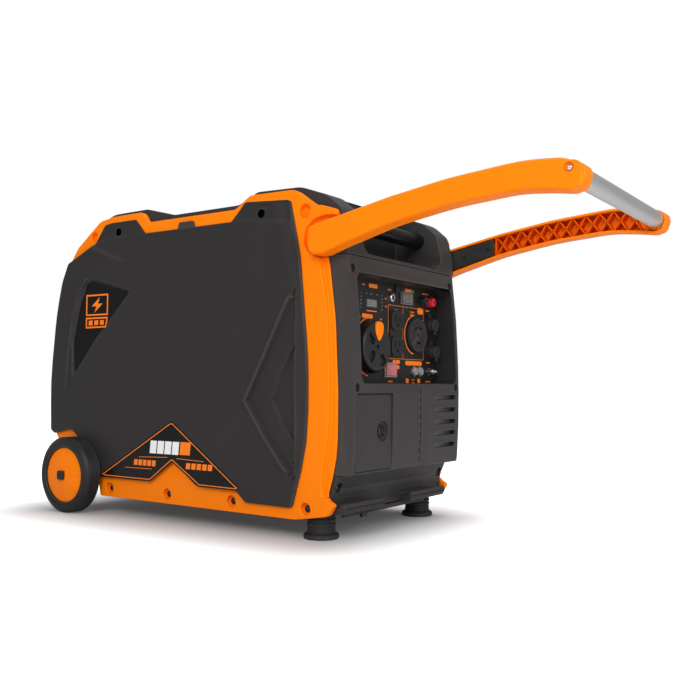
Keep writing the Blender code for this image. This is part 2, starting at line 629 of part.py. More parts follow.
def pivot_bolt(label, side):
    """Shoulder bolt in the top shell's cheek; its head lies inside the arm."""
    tail, head = 0.1375, ARM_IN + 0.0042
    bolt = rod("pivot_bolt_" + label, (PIVOT[0], side * (tail + head) / 2, PIVOT[1]), "Y", BOLT_R,
               head - tail, STEEL, 24)
    return join(bolt, rod("bolt_head_" + label, (PIVOT[0], side * (head + 0.0019), PIVOT[1]), "Y",
                          0.0065, 0.0040, segments=6))


def build_handle():
    for label, side in SIDES:
        handle_arm(label, side)
        hinge_bracket(label, side)
        pivot_bolt(label, side)
    tube = rod("grip_tube", (GRIP[0], 0, GRIP[1]), "Y", GRIP_R, 2 * 0.1735, ALLOY, 28)
    hang(tube, (PIVOT[0], 0, PIVOT[1]))


# ---------------------------------------------------------------- control panel pieces
def on_panel(y, z, depth, gap=GAP):
    """Middle of a piece that stands on the panel's face."""
    return (FACE_X + gap + depth / 2, y, z)


def build_controls():
    y, z, radius = DIAL
    dial = turned("engine_dial",
                  [(0.0, 0.0160), (radius - 0.004, 0.0150), (radius - 0.001, 0.0125), (radius, 0.0008),
                   (0.0045, 0.0008), (0.0045, -0.012), (0.0, -0.012)],
                  (FACE_X, y, z), BLACK, 24, "X")
    for k, angle in enumerate((150, 210, 330)):
        turn = math.radians(angle)
        place = (FACE_X + 0.0165, y + 0.022 * math.cos(turn), z + 0.022 * math.sin(turn))
        dent = rod("dial_dent_%d" % k, place, "X", 0.0085, 0.008, segments=14, end_radius=0.0095)
        cut(dial, dent)
    for name, (mid_y, mid_z, width, height) in ROCKERS.items():
        rocker = box(name, (FACE_X - 0.0050, mid_y - width / 2, mid_z - height / 2),
                     (FACE_X + 0.0040, mid_y + width / 2, mid_z + height / 2),
                     RED if name == "start_switch" else GREY)
        crease = rod(name + "_crease", (FACE_X + 0.0260, mid_y, mid_z), "Z", 0.0240, 0.05, segments=48)
        cut(rocker, crease)
    for k, mid_y in enumerate(BREAKER_Y):
        button = rod("breaker_button_%d" % (k + 1), (FACE_X, mid_y, BREAKER_Z), "X", BREAKER_R, 0.012,
                     GREY, 20)
        soften(button, 0.0008, 1)
    side = BUTTON[2] / 2
    button = box("mute_button", (FACE_X - 0.005, BUTTON[0] - side, BUTTON[1] - side),
                 (FACE_X + 0.0035, BUTTON[0] + side, BUTTON[1] + side), BLACK)
    soften(button, 0.0008, 2)
    build_outlets()


OUTLET_Y, OUTLET_Z = 0.0170, (0.3086, 0.2695)
ROUND_OUTLET = (0.0783, 0.2890, 0.0272)
CAPPED = ((0.1190, 0.3065), (0.1230, 0.2630))   # y and z of the two covered sockets
CAP_DEPTH, CAP_R = 0.0150, 0.0115
STRAP_RISE = 0.0185         # height of a cap's hinge above its middle
JACKS = {"dc_jack_black": (0.0952, 0.3451, 0.0068, BLACK), "dc_jack_red": (0.1199, 0.3443, 0.0080, RED)}


def build_outlets():
    faces = slab_corners(OUTLET_Y - 0.0170, OUTLET_Y + 0.0170,
                         OUTLET_Z[1] - 0.0165, OUTLET_Z[0] + 0.0165, 0.004)
    slots = []
    for z in OUTLET_Z:
        slots.append(slab_corners(OUTLET_Y - 0.0072, OUTLET_Y - 0.0050, z - 0.0010, z + 0.0075, 0))
        slots.append(slab_corners(OUTLET_Y + 0.0050, OUTLET_Y + 0.0072, z - 0.0010, z + 0.0065, 0))
        slots.append(circle(OUTLET_Y, z - 0.0075, 0.0026, 12))
    loops = [rounded(faces)] + [[corner[:2] for corner in slot] for slot in slots]
    plate("duplex_outlet", loops, FACE_X + GAP, FACE_X + 0.0040, BLACK, plane="YZ")
    y, z, radius = ROUND_OUTLET
    slots = [circle(y, z, radius, 32), circle(y, z, 0.0024, 12)]
    for angle in (55, 125, 270):
        turn = math.radians(angle)
        mid_y, mid_z = y + 0.0125 * math.cos(turn), z + 0.0125 * math.sin(turn)
        slots.append([corner[:2] for corner in slab_corners(
            mid_y - 0.002, mid_y + 0.002, mid_z - 0.005, mid_z + 0.005, 0)])
    plate("round_outlet", slots, FACE_X + GAP, FACE_X + 0.0060, CHARCOAL, plane="YZ")
    for k, (y, z) in enumerate(CAPPED):
        cap = rod("socket_cap_%d" % (k + 1), on_panel(y, z, CAP_DEPTH), "X", CAP_R, CAP_DEPTH, RUBBER, 24,
                  end_radius=CAP_R - 0.0010)
        strap = box("cap_strap_%d" % k, (FACE_X + 0.0006, y - 0.005, z),
                    (FACE_X + 0.0036, y + 0.005, z + STRAP_RISE))
        hang(join(cap, strap), (FACE_X + 0.0006, y, z + STRAP_RISE))
    for name, (y, z, radius, finish) in JACKS.items():
        jack = rod(name, on_panel(y, z, 0.0100), "X", radius, 0.0100, finish, 24)
        cut(jack, rod(name + "_bore", (FACE_X + 0.0100, y, z), "X", 0.0022, 0.0140, segments=16))
    y, z = 0.1190, 0.2312
    rod("ground_stud", on_panel(y, z, 0.0160), "X", 0.0024, 0.0160, STEEL, 16)
    nut = rod("ground_wing_nut", (FACE_X + 0.0070, y, z), "X", 0.0052, 0.0070, STEEL, 20)
    join(nut, box("nut_wings", (FACE_X + 0.0050, y - 0.0120, z - 0.0014),
                  (FACE_X + 0.0100, y + 0.0120, z + 0.0014)))
    cut(nut, rod("nut_bore", (FACE_X + 0.0070, y, z), "X", 0.0028, 0.03, segments=16))


DOOR_FACE = 0.0015
LOCK = (-0.0745, 0.1440, 0.0098)    # y, z and radius
DOOR_CLEAR = 0.0008         # gap round the door
DOOR_HINGE = (DOOR_FACE + 0.0080, DOOR_Y[0] + DOOR_CLEAR)   # x, y of its front outer edge


def build_door():
    """Service door hinged on its outer edge, held by a slotted quarter-turn lock."""
    corners = slab_corners(DOOR_Y[0] + DOOR_CLEAR, DOOR_Y[1] - DOOR_CLEAR,
                           DOOR_Z[0] + DOOR_CLEAR, DOOR_Z[1] - DOOR_CLEAR, 0.003)
    y, z, radius = LOCK
    door = plate("service_door", [rounded(corners), circle(y, z, radius + 0.0004, 24)],
                 DOOR_FACE - 0.0035, DOOR_HINGE[0], CHARCOAL, plane="YZ")
    lining = box("door_lining", (DOOR_FACE - 0.02, DOOR_Y[0] + 0.004, DOOR_Z[0] + 0.004),
                 (DOOR_FACE + 0.0050, y - radius - 0.004, DOOR_Z[1] - 0.004))
    hang(cut(door, lining), (*DOOR_HINGE, (DOOR_Z[0] + DOOR_Z[1]) / 2))
    lock = rod("door_lock", (DOOR_FACE + 0.0020, y, z), "X", radius, 0.0090, BLACK, 24)
    cut(lock, box("lock_slot", (DOOR_FACE + 0.0040, y - 0.0012, z - 0.0085),
                  (DOOR_FACE + 0.0100, y + 0.0012, z + 0.0085)))


# ---------------------------------------------------------------- engine, fuel and power
def engine_block():
    """Crankcase and finned cylinder in one casting, with the stator's boss on its right side."""
    x, z = CRANK
    block = box("engine_block", (x - 0.062, -0.085, z - 0.0915), (x + 0.062, 0.045, z + 0.0650), ALLOY)
    barrel = box("barrel", (x - 0.050, -0.065, z + 0.0600), (x + 0.050, 0.031, z + 0.1290))
    join(block, barrel, rod("stator_boss", (x, 0.0500, z), "Y", 0.0235, 0.0310, segments=32))
    for k in range(4):
        level = z + 0.0740 + 0.0135 * k
        ring = box("fin_gap_%d" % k, (x - 0.07, -0.08, level), (x + 0.07, 0.05, level + 0.0070))
        cut(ring, box("fin_core_%d" % k, (x - 0.040, -0.055, level - 0.01),
                      (x + 0.040, 0.021, level + 0.02)))
        cut(block, ring)
    cut(block, box("crank_cavity", (x - 0.045, -0.062, z - 0.060), (x + 0.045, 0.028, z + 0.0560)),
        rod("shaft_way", (x, -0.02, z), "Y", 0.0170, 0.20),
        rod("cylinder_bore", (x, -0.017, z + 0.09), "Z", 0.0350, 0.12, segments=40))
    return block


def crankshaft():
    """Shaft along Y with two round webs and an offset pin between them."""
    x, z = CRANK
    shaft = rod("crankshaft", (x, -0.064, z), "Y", 0.0125, 0.0600, STEEL, 24)
    join(shaft, rod("journal", (x, 0.0690, z), "Y", 0.0125, 0.1140, segments=24),
         rod("crank_pin", (x, -0.011, z + 0.0230), "Y", 0.0100, 0.0440, segments=20))
    for k, y in enumerate((-0.036, 0.012)):
        join(shaft, rod("web_%d" % k, (x, y, z), "Y", 0.0380, 0.0120, segments=32))
    return shaft


def build_engine():
    x, z = CRANK
    engine_block()
    crankshaft()
    head = box("cylinder_head", (x - 0.050, -0.065, z + 0.1293), (x + 0.050, 0.031, z + 0.1620), ALLOY)
    soften(head, 0.004, 2)
    spark = rod("spark_plug", (x + 0.030, -0.017, z + 0.1723), "Z", 0.0080, 0.0200, STEEL, 12)
    join(spark, rod("plug_tip", (x + 0.030, -0.017, z + 0.1840), "Z", 0.0040, 0.0120, segments=12))
    turned("rotor", [(0.0127, 0.013), (0.0650, 0.013), (0.0760, 0.010), (0.0760, -0.032),
                     (0.0720, -0.032), (0.0720, 0.003), (0.0127, 0.003), (0.0127, 0.013)],
           (x, 0.1000, z), STEEL, 28)
    turned("stator", [(0.0240, 0.018), (0.0690, 0.018), (0.0690, -0.016), (0.0240, -0.016),
                      (0.0240, 0.018)], (x, 0.0820, z), STEEL, 28)


def build_starter():
    """Recoil starter: a rope pulley on the shaft's end and the grip on the right cover."""
    x, z = CRANK
    turned("recoil_housing", [(0.0, 0.0060), (0.0800, 0.0060), (0.0820, 0.0040), (0.0820, -0.0120),
                              (0.0780, -0.0120), (0.0780, 0.0020), (0.0060, 0.0020),
                              (0.0060, -0.0060), (0.0, -0.0060)],
           (x, 0.1455, z), CHARCOAL, 24)
    turned("recoil_pulley", [(0.0064, 0.0040), (0.0370, 0.0040), (0.0370, 0.0025), (0.0330, 0.0010),
                             (0.0370, -0.0025), (0.0370, -0.0040), (0.0064, -0.0040), (0.0064, 0.0040)],
           (x, 0.1420, z), BLACK, 24)
    turned("recoil_grip", [(0.0, 0.011), (0.0060, 0.010), (0.0085, 0.004), (0.0085, -0.004),
                           (0.0060, -0.010), (0.0, -0.011)],
           (x + 0.035, COVER_OUT + 0.0115, 0.225), BLACK, 16, "Y")


def silencer():
    """Round silencer with the exhaust pipe welded into its front."""
    can = turned("silencer", [(0.0, 0.072), (0.0480, 0.072), (0.0520, 0.066), (0.0520, -0.066),
                              (0.0480, -0.072), (0.0, -0.072)],
                 (-0.5200, 0.0150, EXHAUST[1]), STEEL, 32)
    pipe = bpy.data.curves.new("exhaust_pipe", "CURVE")
    pipe.dimensions = "3D"
    pipe.bevel_depth = 0.0110
    pipe.bevel_resolution = 2
    pipe.use_fill_caps = True
    spline = pipe.splines.new("POLY")
    points = ((-0.4105, -0.0170, 0.3150), (-0.4250, -0.0170, 0.3150), (-0.4400, -0.0170, 0.3080),
              (-0.4520, -0.0170, 0.2960), (-0.4700, -0.0170, 0.2800), (-0.4900, -0.0170, 0.2650))
    spline.points.add(len(points) - 1)
    for point, place in zip(spline.points, points):
        point.co = (*place, 1)
    holder = bpy.data.objects.new("exhaust_pipe_path", pipe)
    CUTTERS.objects.link(holder)
    return join(can, add("exhaust_pipe", as_mesh("exhaust_pipe", holder)))


def build_supply():
    """Tank, cap, air box, carburettor, silencer, inverter and battery."""
    tank = box("fuel_tank", (-0.3900, -0.1300, 0.3700), (-0.1400, 0.1300, 0.4400), BLACK)
    soften(tank, 0.012, 2)
    join(tank, rod("filler_neck", (CAP_X, 0, 0.4510), "Z", NECK_R, 0.0300, segments=32))
    cut(tank, soften(box("tank_inside", (-0.3870, -0.1270, 0.3730), (-0.1430, 0.1270, 0.4370)), 0.010, 2),
        rod("filler_bore", (CAP_X, 0, 0.4500), "Z", NECK_R - 0.003, 0.06, segments=32))
    cap = turned("fuel_cap", [(0.0, 0.0140), (0.0330, 0.0130), (0.0360, 0.0100), (0.0360, 0.0003),
                              (NECK_R - 0.004, 0.0003), (NECK_R - 0.004, -0.0150), (0.0, -0.0150)],
                 (CAP_X, 0, VALLEY_Z), BLACK, 28, "Z")
    join(cap, box("cap_bar", (CAP_X - 0.026, -0.004, VALLEY_Z + 0.0117),
                  (CAP_X + 0.026, 0.004, VALLEY_Z + 0.0152)))

    soften(box("air_box", (-0.2700, -0.1400, 0.2300), (-0.1600, -0.0300, 0.3300), BLACK), 0.006, 2)
    carb = box("carburettor", (-0.3060, -0.0420, 0.2480), (-0.2705, 0.0080, 0.2920), ALLOY)
    cut(carb, rod("carb_throat", (-0.29, -0.017, 0.270), "X", 0.0100, 0.06, segments=20))
    silencer()

    inverter = box("inverter_module", (-0.1350, -0.1250, 0.0900), (-0.0850, 0.0150, 0.2050), ALLOY)
    for k in range(8):
        y = -0.1130 + 0.0160 * k
        cut(inverter, box("heat_fin_%d" % k, (-0.15, y, 0.08), (-0.1150, y + 0.0090, 0.22)))
    soften(box("battery", (-0.2350, 0.0350, 0.0460), (-0.1250, 0.1250, 0.1500), BLACK), 0.003, 2)


def centre_model():
    """Move everything so that the origin lies under the middle of the box."""
    graph = bpy.context.evaluated_depsgraph_get()
    reach = []
    for obj in PARTS.objects:
        solid = obj.evaluated_get(graph)
        reach += [(obj.matrix_world @ Vector(corner)).x for corner in solid.bound_box]
    shift = -(min(reach) + max(reach)) / 2
    for collection in (PARTS, CUTTERS):
        for obj in collection.objects:
            obj.location.x += shift
            obj.location.z -= GROUND


build_sides()
build_shells()
build_running_gear()
build_handle()
build_controls()
build_door()
build_engine()
build_starter()
build_supply()
centre_model()
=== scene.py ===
"""Looks of the inverter generator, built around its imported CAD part.

Lengths are metres. Positions in the code are measured from the control end of the body, as in
the CAD source; show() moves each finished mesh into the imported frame.
"""

import math

import bmesh
import bpy
import numpy as np
from mathutils import Matrix, Vector
from mathutils.geometry import delaunay_2d_cdt


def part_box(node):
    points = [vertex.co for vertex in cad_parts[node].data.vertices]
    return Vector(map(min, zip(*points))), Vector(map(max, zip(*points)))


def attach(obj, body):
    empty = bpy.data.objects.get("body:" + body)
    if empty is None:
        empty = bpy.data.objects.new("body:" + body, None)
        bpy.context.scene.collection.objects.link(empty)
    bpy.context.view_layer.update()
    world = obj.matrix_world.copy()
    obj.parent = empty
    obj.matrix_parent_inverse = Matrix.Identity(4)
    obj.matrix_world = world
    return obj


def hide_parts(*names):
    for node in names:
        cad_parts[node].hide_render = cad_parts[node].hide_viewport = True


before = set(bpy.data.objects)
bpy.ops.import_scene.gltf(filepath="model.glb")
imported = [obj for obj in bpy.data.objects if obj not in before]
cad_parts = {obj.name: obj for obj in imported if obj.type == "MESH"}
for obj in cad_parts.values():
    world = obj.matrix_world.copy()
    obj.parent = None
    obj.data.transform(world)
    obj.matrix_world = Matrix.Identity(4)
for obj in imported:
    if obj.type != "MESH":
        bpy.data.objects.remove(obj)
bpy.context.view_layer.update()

GRIP = (0.3275, 0.4508)             # x, z of the grip tube's centre line
tube_low, tube_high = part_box("grip_tube")
SHIFT = (tube_low[0] + tube_high[0]) / 2 - GRIP[0]
LIFT = (tube_low[2] + tube_high[2]) / 2 - GRIP[1]
SIDES = (("left", -1), ("right", 1))
WORK = bpy.data.collections.new("inverter_generator_looks")
bpy.context.scene.collection.children.link(WORK)


# ---------------------------------------------------------------- materials
def shader(name):
    made = bpy.data.materials.new(name)
    made.use_nodes = True
    return made, made.node_tree.nodes, made.node_tree.links


def moulded(name, colour, roughness, grain=900.0, relief=0.00004, mottle=0.12, wear_and_highlight=0.0,
            metallic=0.0, coat=0.0, spread=0.08, stretch=(1, 1, 1), sheen=0.35):
    """Solid material with a fine surface grain, slow colour and gloss changes and paler edges, partly wear
    and partly a painted highlight.
    """
    made, nodes, links = shader(name)
    principled = nodes["Principled BSDF"]
    principled.inputs["Metallic"].default_value = metallic
    principled.inputs["Coat Weight"].default_value = coat
    principled.inputs["Coat Roughness"].default_value = 0.12
    principled.inputs["Specular IOR Level"].default_value = sheen
    place = nodes.new("ShaderNodeTexCoord")
    scale = nodes.new("ShaderNodeMapping")
    scale.inputs["Scale"].default_value = stretch
    links.new(place.outputs["Object"], scale.inputs["Vector"])

    def noise(size, detail):
        node = nodes.new("ShaderNodeTexNoise")
        node.inputs["Scale"].default_value = size
        node.inputs["Detail"].default_value = detail
        links.new(scale.outputs["Vector"], node.inputs["Vector"])
        return node.outputs["Fac"]

    def blend(factor, first, second):
        node = nodes.new("ShaderNodeMix")
        node.data_type = "RGBA"
        links.new(factor, node.inputs[0])
        for socket, value in ((node.inputs[6], first), (node.inputs[7], second)):
            if isinstance(value, tuple):
                socket.default_value = (*value, 1)
            else:
                links.new(value, socket)
        return node.outputs[2]

    dark = tuple(c * (1 - mottle) for c in colour)
    pale = tuple(min(1, c * (1 + mottle)) for c in colour)
    tint = blend(noise(22, 4), dark, pale)
    # Paler edges where pointiness is high: partly wear, partly a painted highlight standing in for glints on
    # ridges and creases.
    if wear_and_highlight:
        edge = nodes.new("ShaderNodeNewGeometry")
        ramp = nodes.new("ShaderNodeMapRange")
        ramp.inputs["From Min"].default_value = 0.51
        ramp.inputs["From Max"].default_value = 0.58
        ramp.inputs["To Max"].default_value = wear_and_highlight
        links.new(edge.outputs["Pointiness"], ramp.inputs["Value"])
        tint = blend(ramp.outputs["Result"], tint, tuple(min(1, c * 2.2 + 0.03) for c in colour))
    links.new(tint, principled.inputs["Base Color"])
    gloss = nodes.new("ShaderNodeMapRange")
    gloss.inputs["To Min"].default_value = roughness - spread
    gloss.inputs["To Max"].default_value = roughness + spread
    links.new(noise(60, 5), gloss.inputs["Value"])
    links.new(gloss.outputs["Result"], principled.inputs["Roughness"])
    bump = nodes.new("ShaderNodeBump")
    bump.inputs["Distance"].default_value = relief
    bump.inputs["Strength"].default_value = 0.9
    links.new(noise(grain, 3), bump.inputs["Height"])
    links.new(bump.outputs["Normal"], principled.inputs["Normal"])
    return made


def lamp_face(name, colour, strength):
    """Faintly glowing lens: a moulded plastic with some emission."""
    made = moulded(name, colour, 0.25, mottle=0.05)
    principled = made.node_tree.nodes["Principled BSDF"]
    principled.inputs["Emission Color"].default_value = (*colour, 1)
    principled.inputs["Emission Strength"].default_value = strength
    return made


ORANGE = moulded(
    "orange_plastic", (1.0, 0.215, 0.001), 0.42, grain=1400, relief=0.00002, mottle=0.04, sheen=0.1)
# Painted shade: the orange plastic made darker for the lattice ribs deep in the handle arm's channel.
SHADED_ORANGE = moulded("deep_orange_plastic", (0.8, 0.095, 0.001), 0.42, mottle=0.04, sheen=0.08)
# Charcoal's paler edges are turned up to paint highlights along the covers' beads and creases, with a little
# wear.
CHARCOAL = moulded(
    "charcoal_plastic", (0.027, 0.025, 0.0244), 0.44, grain=1100, relief=0.00005, mottle=0.1, wear_and_highlight=0.55,
    sheen=0.18)
# Painted shade, partly a black screw: matt near-black for the discs that fill the cover tabs' screw holes.
SCREW_AND_HOLE_SHADE = moulded("dark_void", (0.001, 0.001, 0.001), 0.9, sheen=0.0)
BLACK = moulded("black_plastic", (0.01, 0.01, 0.01), 0.4, grain=1500, relief=0.00003, wear_and_highlight=0.3)
PANEL = moulded("panel_black", (0.008, 0.008, 0.008), 0.42, grain=1800, relief=0.00002, mottle=0.1)
GLOSS = moulded("gloss_black", (0.004, 0.004, 0.004), 0.3, grain=1400, relief=0.00001, sheen=0.2, spread=0.04)
TYRE = moulded("tyre_rubber", (0.01, 0.01, 0.01), 0.46, grain=700, relief=0.00008, wear_and_highlight=0.35)
RUBBER = moulded("soft_rubber", (0.013, 0.013, 0.013), 0.62, grain=900, relief=0.00008, wear_and_highlight=0.35)
INK = moulded("orange_ink", (1.0, 0.2, 0.004), 0.5, grain=2500, relief=0.00001, mottle=0.1)
WHITE = moulded("white_ink", (0.85, 0.85, 0.85), 0.45, grain=2500, relief=0.00001, mottle=0.04)
STEEL = moulded("bright_steel", (0.62, 0.63, 0.64), 0.28, grain=300, relief=0.00001, metallic=1.0,
                stretch=(1, 0.05, 1))
BLACK_STEEL = moulded(
    "black_steel", (0.012, 0.012, 0.012), 0.34, grain=1600, relief=0.00004, coat=0.2, wear_and_highlight=0.4)
TUBE = moulded("grip_alloy", (0.56, 0.565, 0.555), 0.4, grain=900, relief=0.00002, metallic=0.85,
               stretch=(1, 0.04, 1), mottle=0.08)
CAST = moulded("cast_alloy", (0.42, 0.43, 0.44), 0.48, grain=500, relief=0.0002, metallic=0.9)
GREY = moulded("grey_plastic", (0.26, 0.25, 0.25), 0.28, grain=1500, relief=0.00002, coat=0.4)
SMOKE = moulded("smoke_grey", (0.14, 0.135, 0.13), 0.22, grain=1500, relief=0.00002, coat=0.4)
RED = moulded("red_plastic", (0.62, 0.02, 0.035), 0.28, grain=1500, relief=0.00002, coat=0.4)
PINK = moulded("red_rocker", (0.55, 0.16, 0.17), 0.25, grain=1500, relief=0.00002, coat=0.4)
GREEN = lamp_face("green_lens", (0.03, 0.45, 0.08), 0.5)
PALE_LED = moulded("led_lens", (0.16, 0.2, 0.17), 0.2, grain=1500, relief=0.00002, coat=0.5)
COPPER = moulded("copper_winding", (0.55, 0.22, 0.07), 0.35, grain=300, relief=0.0002, metallic=0.9)
GALVANISED = moulded(
    "hot_steel", (0.35, 0.33, 0.31), 0.5, grain=400, relief=0.0001, metallic=0.9, mottle=0.25)


# ---------------------------------------------------------------- shapes
def rounded(points, step=0.22):
    """Outline of (a, b, radius) corners, with each corner turned into a fine arc."""
    out = []
    for i, corner in enumerate(points):
        here = Vector(corner[:2])
        radius = corner[2] if len(corner) > 2 else 0
        before = Vector(points[i - 1][:2]) - here
        after = Vector(points[(i + 1) % len(points)][:2]) - here
        if radius <= 0:
            out.append(tuple(here))
            continue
        bend = math.pi - before.angle(after)
        reach = min(radius * math.tan(bend / 2), before.length * 0.48, after.length * 0.48)
        radius = reach / math.tan(bend / 2)
        middle = (before.normalized() + after.normalized()).normalized()
        centre = here + middle * radius / math.cos(bend / 2)
        first = here + before.normalized() * reach - centre
        turn = -math.copysign(bend, before.x * after.y - before.y * after.x)
        count = max(2, math.ceil(bend / step))
        for k in range(count + 1):
            out.append(tuple(centre + Matrix.Rotation(turn * k / count, 2) @ first))
    return out


def circle(a, b, radius, count=32):
    return [(a + radius * math.cos(math.tau * k / count), b + radius * math.sin(math.tau * k / count))
            for k in range(count)]


def slab(a_low, a_high, b_low, b_high, radius=0.0):
    return rounded([(a_low, b_low, radius), (a_high, b_low, radius),
                    (a_high, b_high, radius), (a_low, b_high, radius)], 0.3)


def pad(a, b, width, height, radius=0.0):
    """Rounded rectangle around a centre."""
    return slab(a - width / 2, a + width / 2, b - height / 2, b + height / 2, radius)


def inset(points, distance):
    """Outline moved inwards by the same distance all round, for a counter-clockwise outline."""
    out = []
    for i, point in enumerate(points):
        here = Vector(point)
        before = (here - Vector(points[i - 1])).normalized()
        after = (Vector(points[(i + 1) % len(points)]) - here).normalized()
        normal = Vector((-before.y - after.y, before.x + after.x))
        if normal.length < 1e-6:
            continue
        scale = max(0.5, (1 + before.dot(after)) / 2) ** 0.5
        out.append(tuple(here + normal.normalized() * distance / scale))
    return out


def area(points):
    return sum(a[0] * b[1] - b[0] * a[1] for a, b in zip(points, points[1:] + points[:1])) / 2


def ccw(points):
    return points if area(points) > 0 else points[::-1]


PLANE = {
    "XZ": Matrix(((1, 0, 0), (0, 0, -1), (0, 1, 0))),
    "YZ": Matrix(((0, 0, 1), (1, 0, 0), (0, 1, 0))),
    "XY": Matrix.Identity(3),
}
TURN = {
    "X": Matrix.Rotation(math.pi / 2, 4, "Y"),
    "Y": Matrix.Rotation(-math.pi / 2, 4, "X"),
    "Z": Matrix.Identity(4),
}


def raw(name, mesh):
    obj = bpy.data.objects.new(name, mesh)
    WORK.objects.link(obj)
    return obj


def from_bmesh(name, work):
    mesh = bpy.data.meshes.new(name)
    work.to_mesh(mesh)
    work.free()
    return raw(name, mesh)


def apply(obj):
    """The object's modifiers become part of its mesh."""
    graph = bpy.context.evaluated_depsgraph_get()
    mesh = bpy.data.meshes.new_from_object(obj.evaluated_get(graph), depsgraph=graph)
    obj.modifiers.clear()
    obj.data = mesh
    return obj


def plate(name, loops, low, high, plane="XZ", lip=0.0, steps=2):
    """Outline with holes, extruded between two offsets from its plane; lip rounds its rims."""
    curve = bpy.data.curves.new(name, "CURVE")
    curve.dimensions = "2D"
    curve.fill_mode = "BOTH"
    curve.extrude = abs(high - low) / 2 - lip
    curve.bevel_depth = lip
    curve.bevel_resolution = steps
    curve.offset = -lip
    for loop in loops:
        spline = curve.splines.new("POLY")
        spline.points.add(len(loop) - 1)
        for point, (a, b) in zip(spline.points, loop):
            point.co = (a, b, 0, 1)
        spline.use_cyclic_u = True
    holder = raw(name, curve)
    graph = bpy.context.evaluated_depsgraph_get()
    mesh = bpy.data.meshes.new_from_object(holder.evaluated_get(graph))
    bpy.data.objects.remove(holder)
    work = bmesh.new()
    work.from_mesh(mesh)
    bmesh.ops.remove_doubles(work, verts=work.verts, dist=0.00001)
    if not lip:
        bmesh.ops.dissolve_limit(work, angle_limit=0.001, verts=work.verts, edges=work.edges)
    bmesh.ops.recalc_face_normals(work, faces=work.faces)
    turn = PLANE[plane].to_4x4()
    middle = (low + high) / 2
    shift = Vector([abs(c) * middle for c in turn @ Vector((0, 0, 1))])
    bmesh.ops.transform(work, matrix=Matrix.Translation(shift) @ turn, verts=work.verts)
    return from_bmesh(name, work)


def block(name, low, high):
    low, high = Vector(low), Vector(high)
    work = bmesh.new()
    bmesh.ops.create_cube(work, size=1)
    bmesh.ops.scale(work, vec=high - low, verts=work.verts)
    bmesh.ops.translate(work, vec=(low + high) / 2, verts=work.verts)
    return from_bmesh(name, work)


def rod(name, centre, axis, radius, length, segments=48, end_radius=None):
    work = bmesh.new()
    bmesh.ops.create_cone(
        work, cap_ends=True, segments=segments, radius1=radius,
        radius2=radius if end_radius is None else end_radius, depth=length)
    bmesh.ops.transform(work, matrix=Matrix.Translation(centre) @ TURN[axis], verts=work.verts)
    return from_bmesh(name, work)


def turned(name, profile, centre, axis="Y", segments=96, height=None):
    """Solid of revolution from (radius, height) points; height may lift points by their angle."""
    work = bmesh.new()
    rings = []
    for radius, level in profile:
        count = segments if radius > 1e-6 else 1
        ring = []
        for k in range(count):
            angle = math.tau * k / segments
            lift = height(radius, angle) if height else 0.0
            ring.append(work.verts.new((radius * math.cos(angle), radius * math.sin(angle), level + lift)))
        rings.append(ring)
    for near, far in zip(rings, rings[1:]):
        for k in range(segments):
            j = (k + 1) % segments
            corners = [near[k % len(near)], near[j % len(near)], far[j % len(far)], far[k % len(far)]]
            unique = list(dict.fromkeys(corners))
            if len(unique) > 2:
                work.faces.new(unique)
    bmesh.ops.recalc_face_normals(work, faces=work.faces)
    bmesh.ops.transform(work, matrix=Matrix.Translation(centre) @ TURN[axis], verts=work.verts)
    return from_bmesh(name, work)


def combine(obj, others, operation):
    for k, other in enumerate(others):
        step = obj.modifiers.new("step_%d" % k, "BOOLEAN")
        step.operation = operation
        step.solver = "EXACT"
        step.object = other
    apply(obj)
    for other in others:
        bpy.data.objects.remove(other)
    return obj


def carve(obj, *others):
    return combine(obj, others, "DIFFERENCE")


def weld(obj, *others):
    return combine(obj, others, "UNION")


def join(name, objs):
    """Several separate shapes as one object."""
    work = bmesh.new()
    for obj in objs:
        work.from_mesh(obj.data)
        bpy.data.objects.remove(obj)
    return from_bmesh(name, work)


def soft(obj, width, segments=3, angle=35):
    step = obj.modifiers.new("soft", "BEVEL")
    step.width = width
    step.segments = segments
    step.limit_method = "ANGLE"
    step.angle_limit = math.radians(angle)
    step.use_clamp_overlap = False
    return apply(obj)


LOOK = "_look"


def show(obj, finish, body="chassis", angle=40):
    """Last step of a piece: shading, place, finish, its body and the CAD node that NODE_look replaces."""
    obj.data.transform(Matrix.Translation((SHIFT, 0, LIFT)))
    obj.data.shade_smooth()
    obj.data.set_sharp_from_angle(angle=math.radians(angle))
    even = obj.modifiers.new("even", "WEIGHTED_NORMAL")
    even.keep_sharp = True
    apply(obj)
    obj.data.materials.clear()
    obj.data.materials.append(finish)
    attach(obj, body)
    if obj.name.endswith(LOOK):
        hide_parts(obj.name[:-len(LOOK)])


def span(side, near, far):
    return (near, far) if side > 0 else (-far, -near)


def screw(centre, axis, outward, radius=0.0045, depth=0.003):
    """Pan head with a cross recess; outward is the sign of the way it faces along its axis."""
    x, y, z = centre
    head = turned("screw", [
        (0, depth), (radius * 0.55, depth * 0.95), (radius * 0.9, depth * 0.55), (radius, 0),
        (radius, -depth * 0.4), (0, -depth * 0.4)], (0, 0, 0), "Z", 24)
    arms = []
    for turn in (0.5, 0.5 + math.pi / 2):
        arm = block("arm", (-radius * 0.62, -radius * 0.13, depth * 0.35),
                    (radius * 0.62, radius * 0.13, depth * 1.5))
        arm.data.transform(Matrix.Rotation(turn, 4, "Z"))
        arms.append(arm)
    carve(head, *arms)
    if outward < 0:
        head.data.transform(Matrix.Rotation(math.pi, 4, "X"))
    head.data.transform(Matrix.Translation((x, y, z)) @ TURN[axis])
    return head


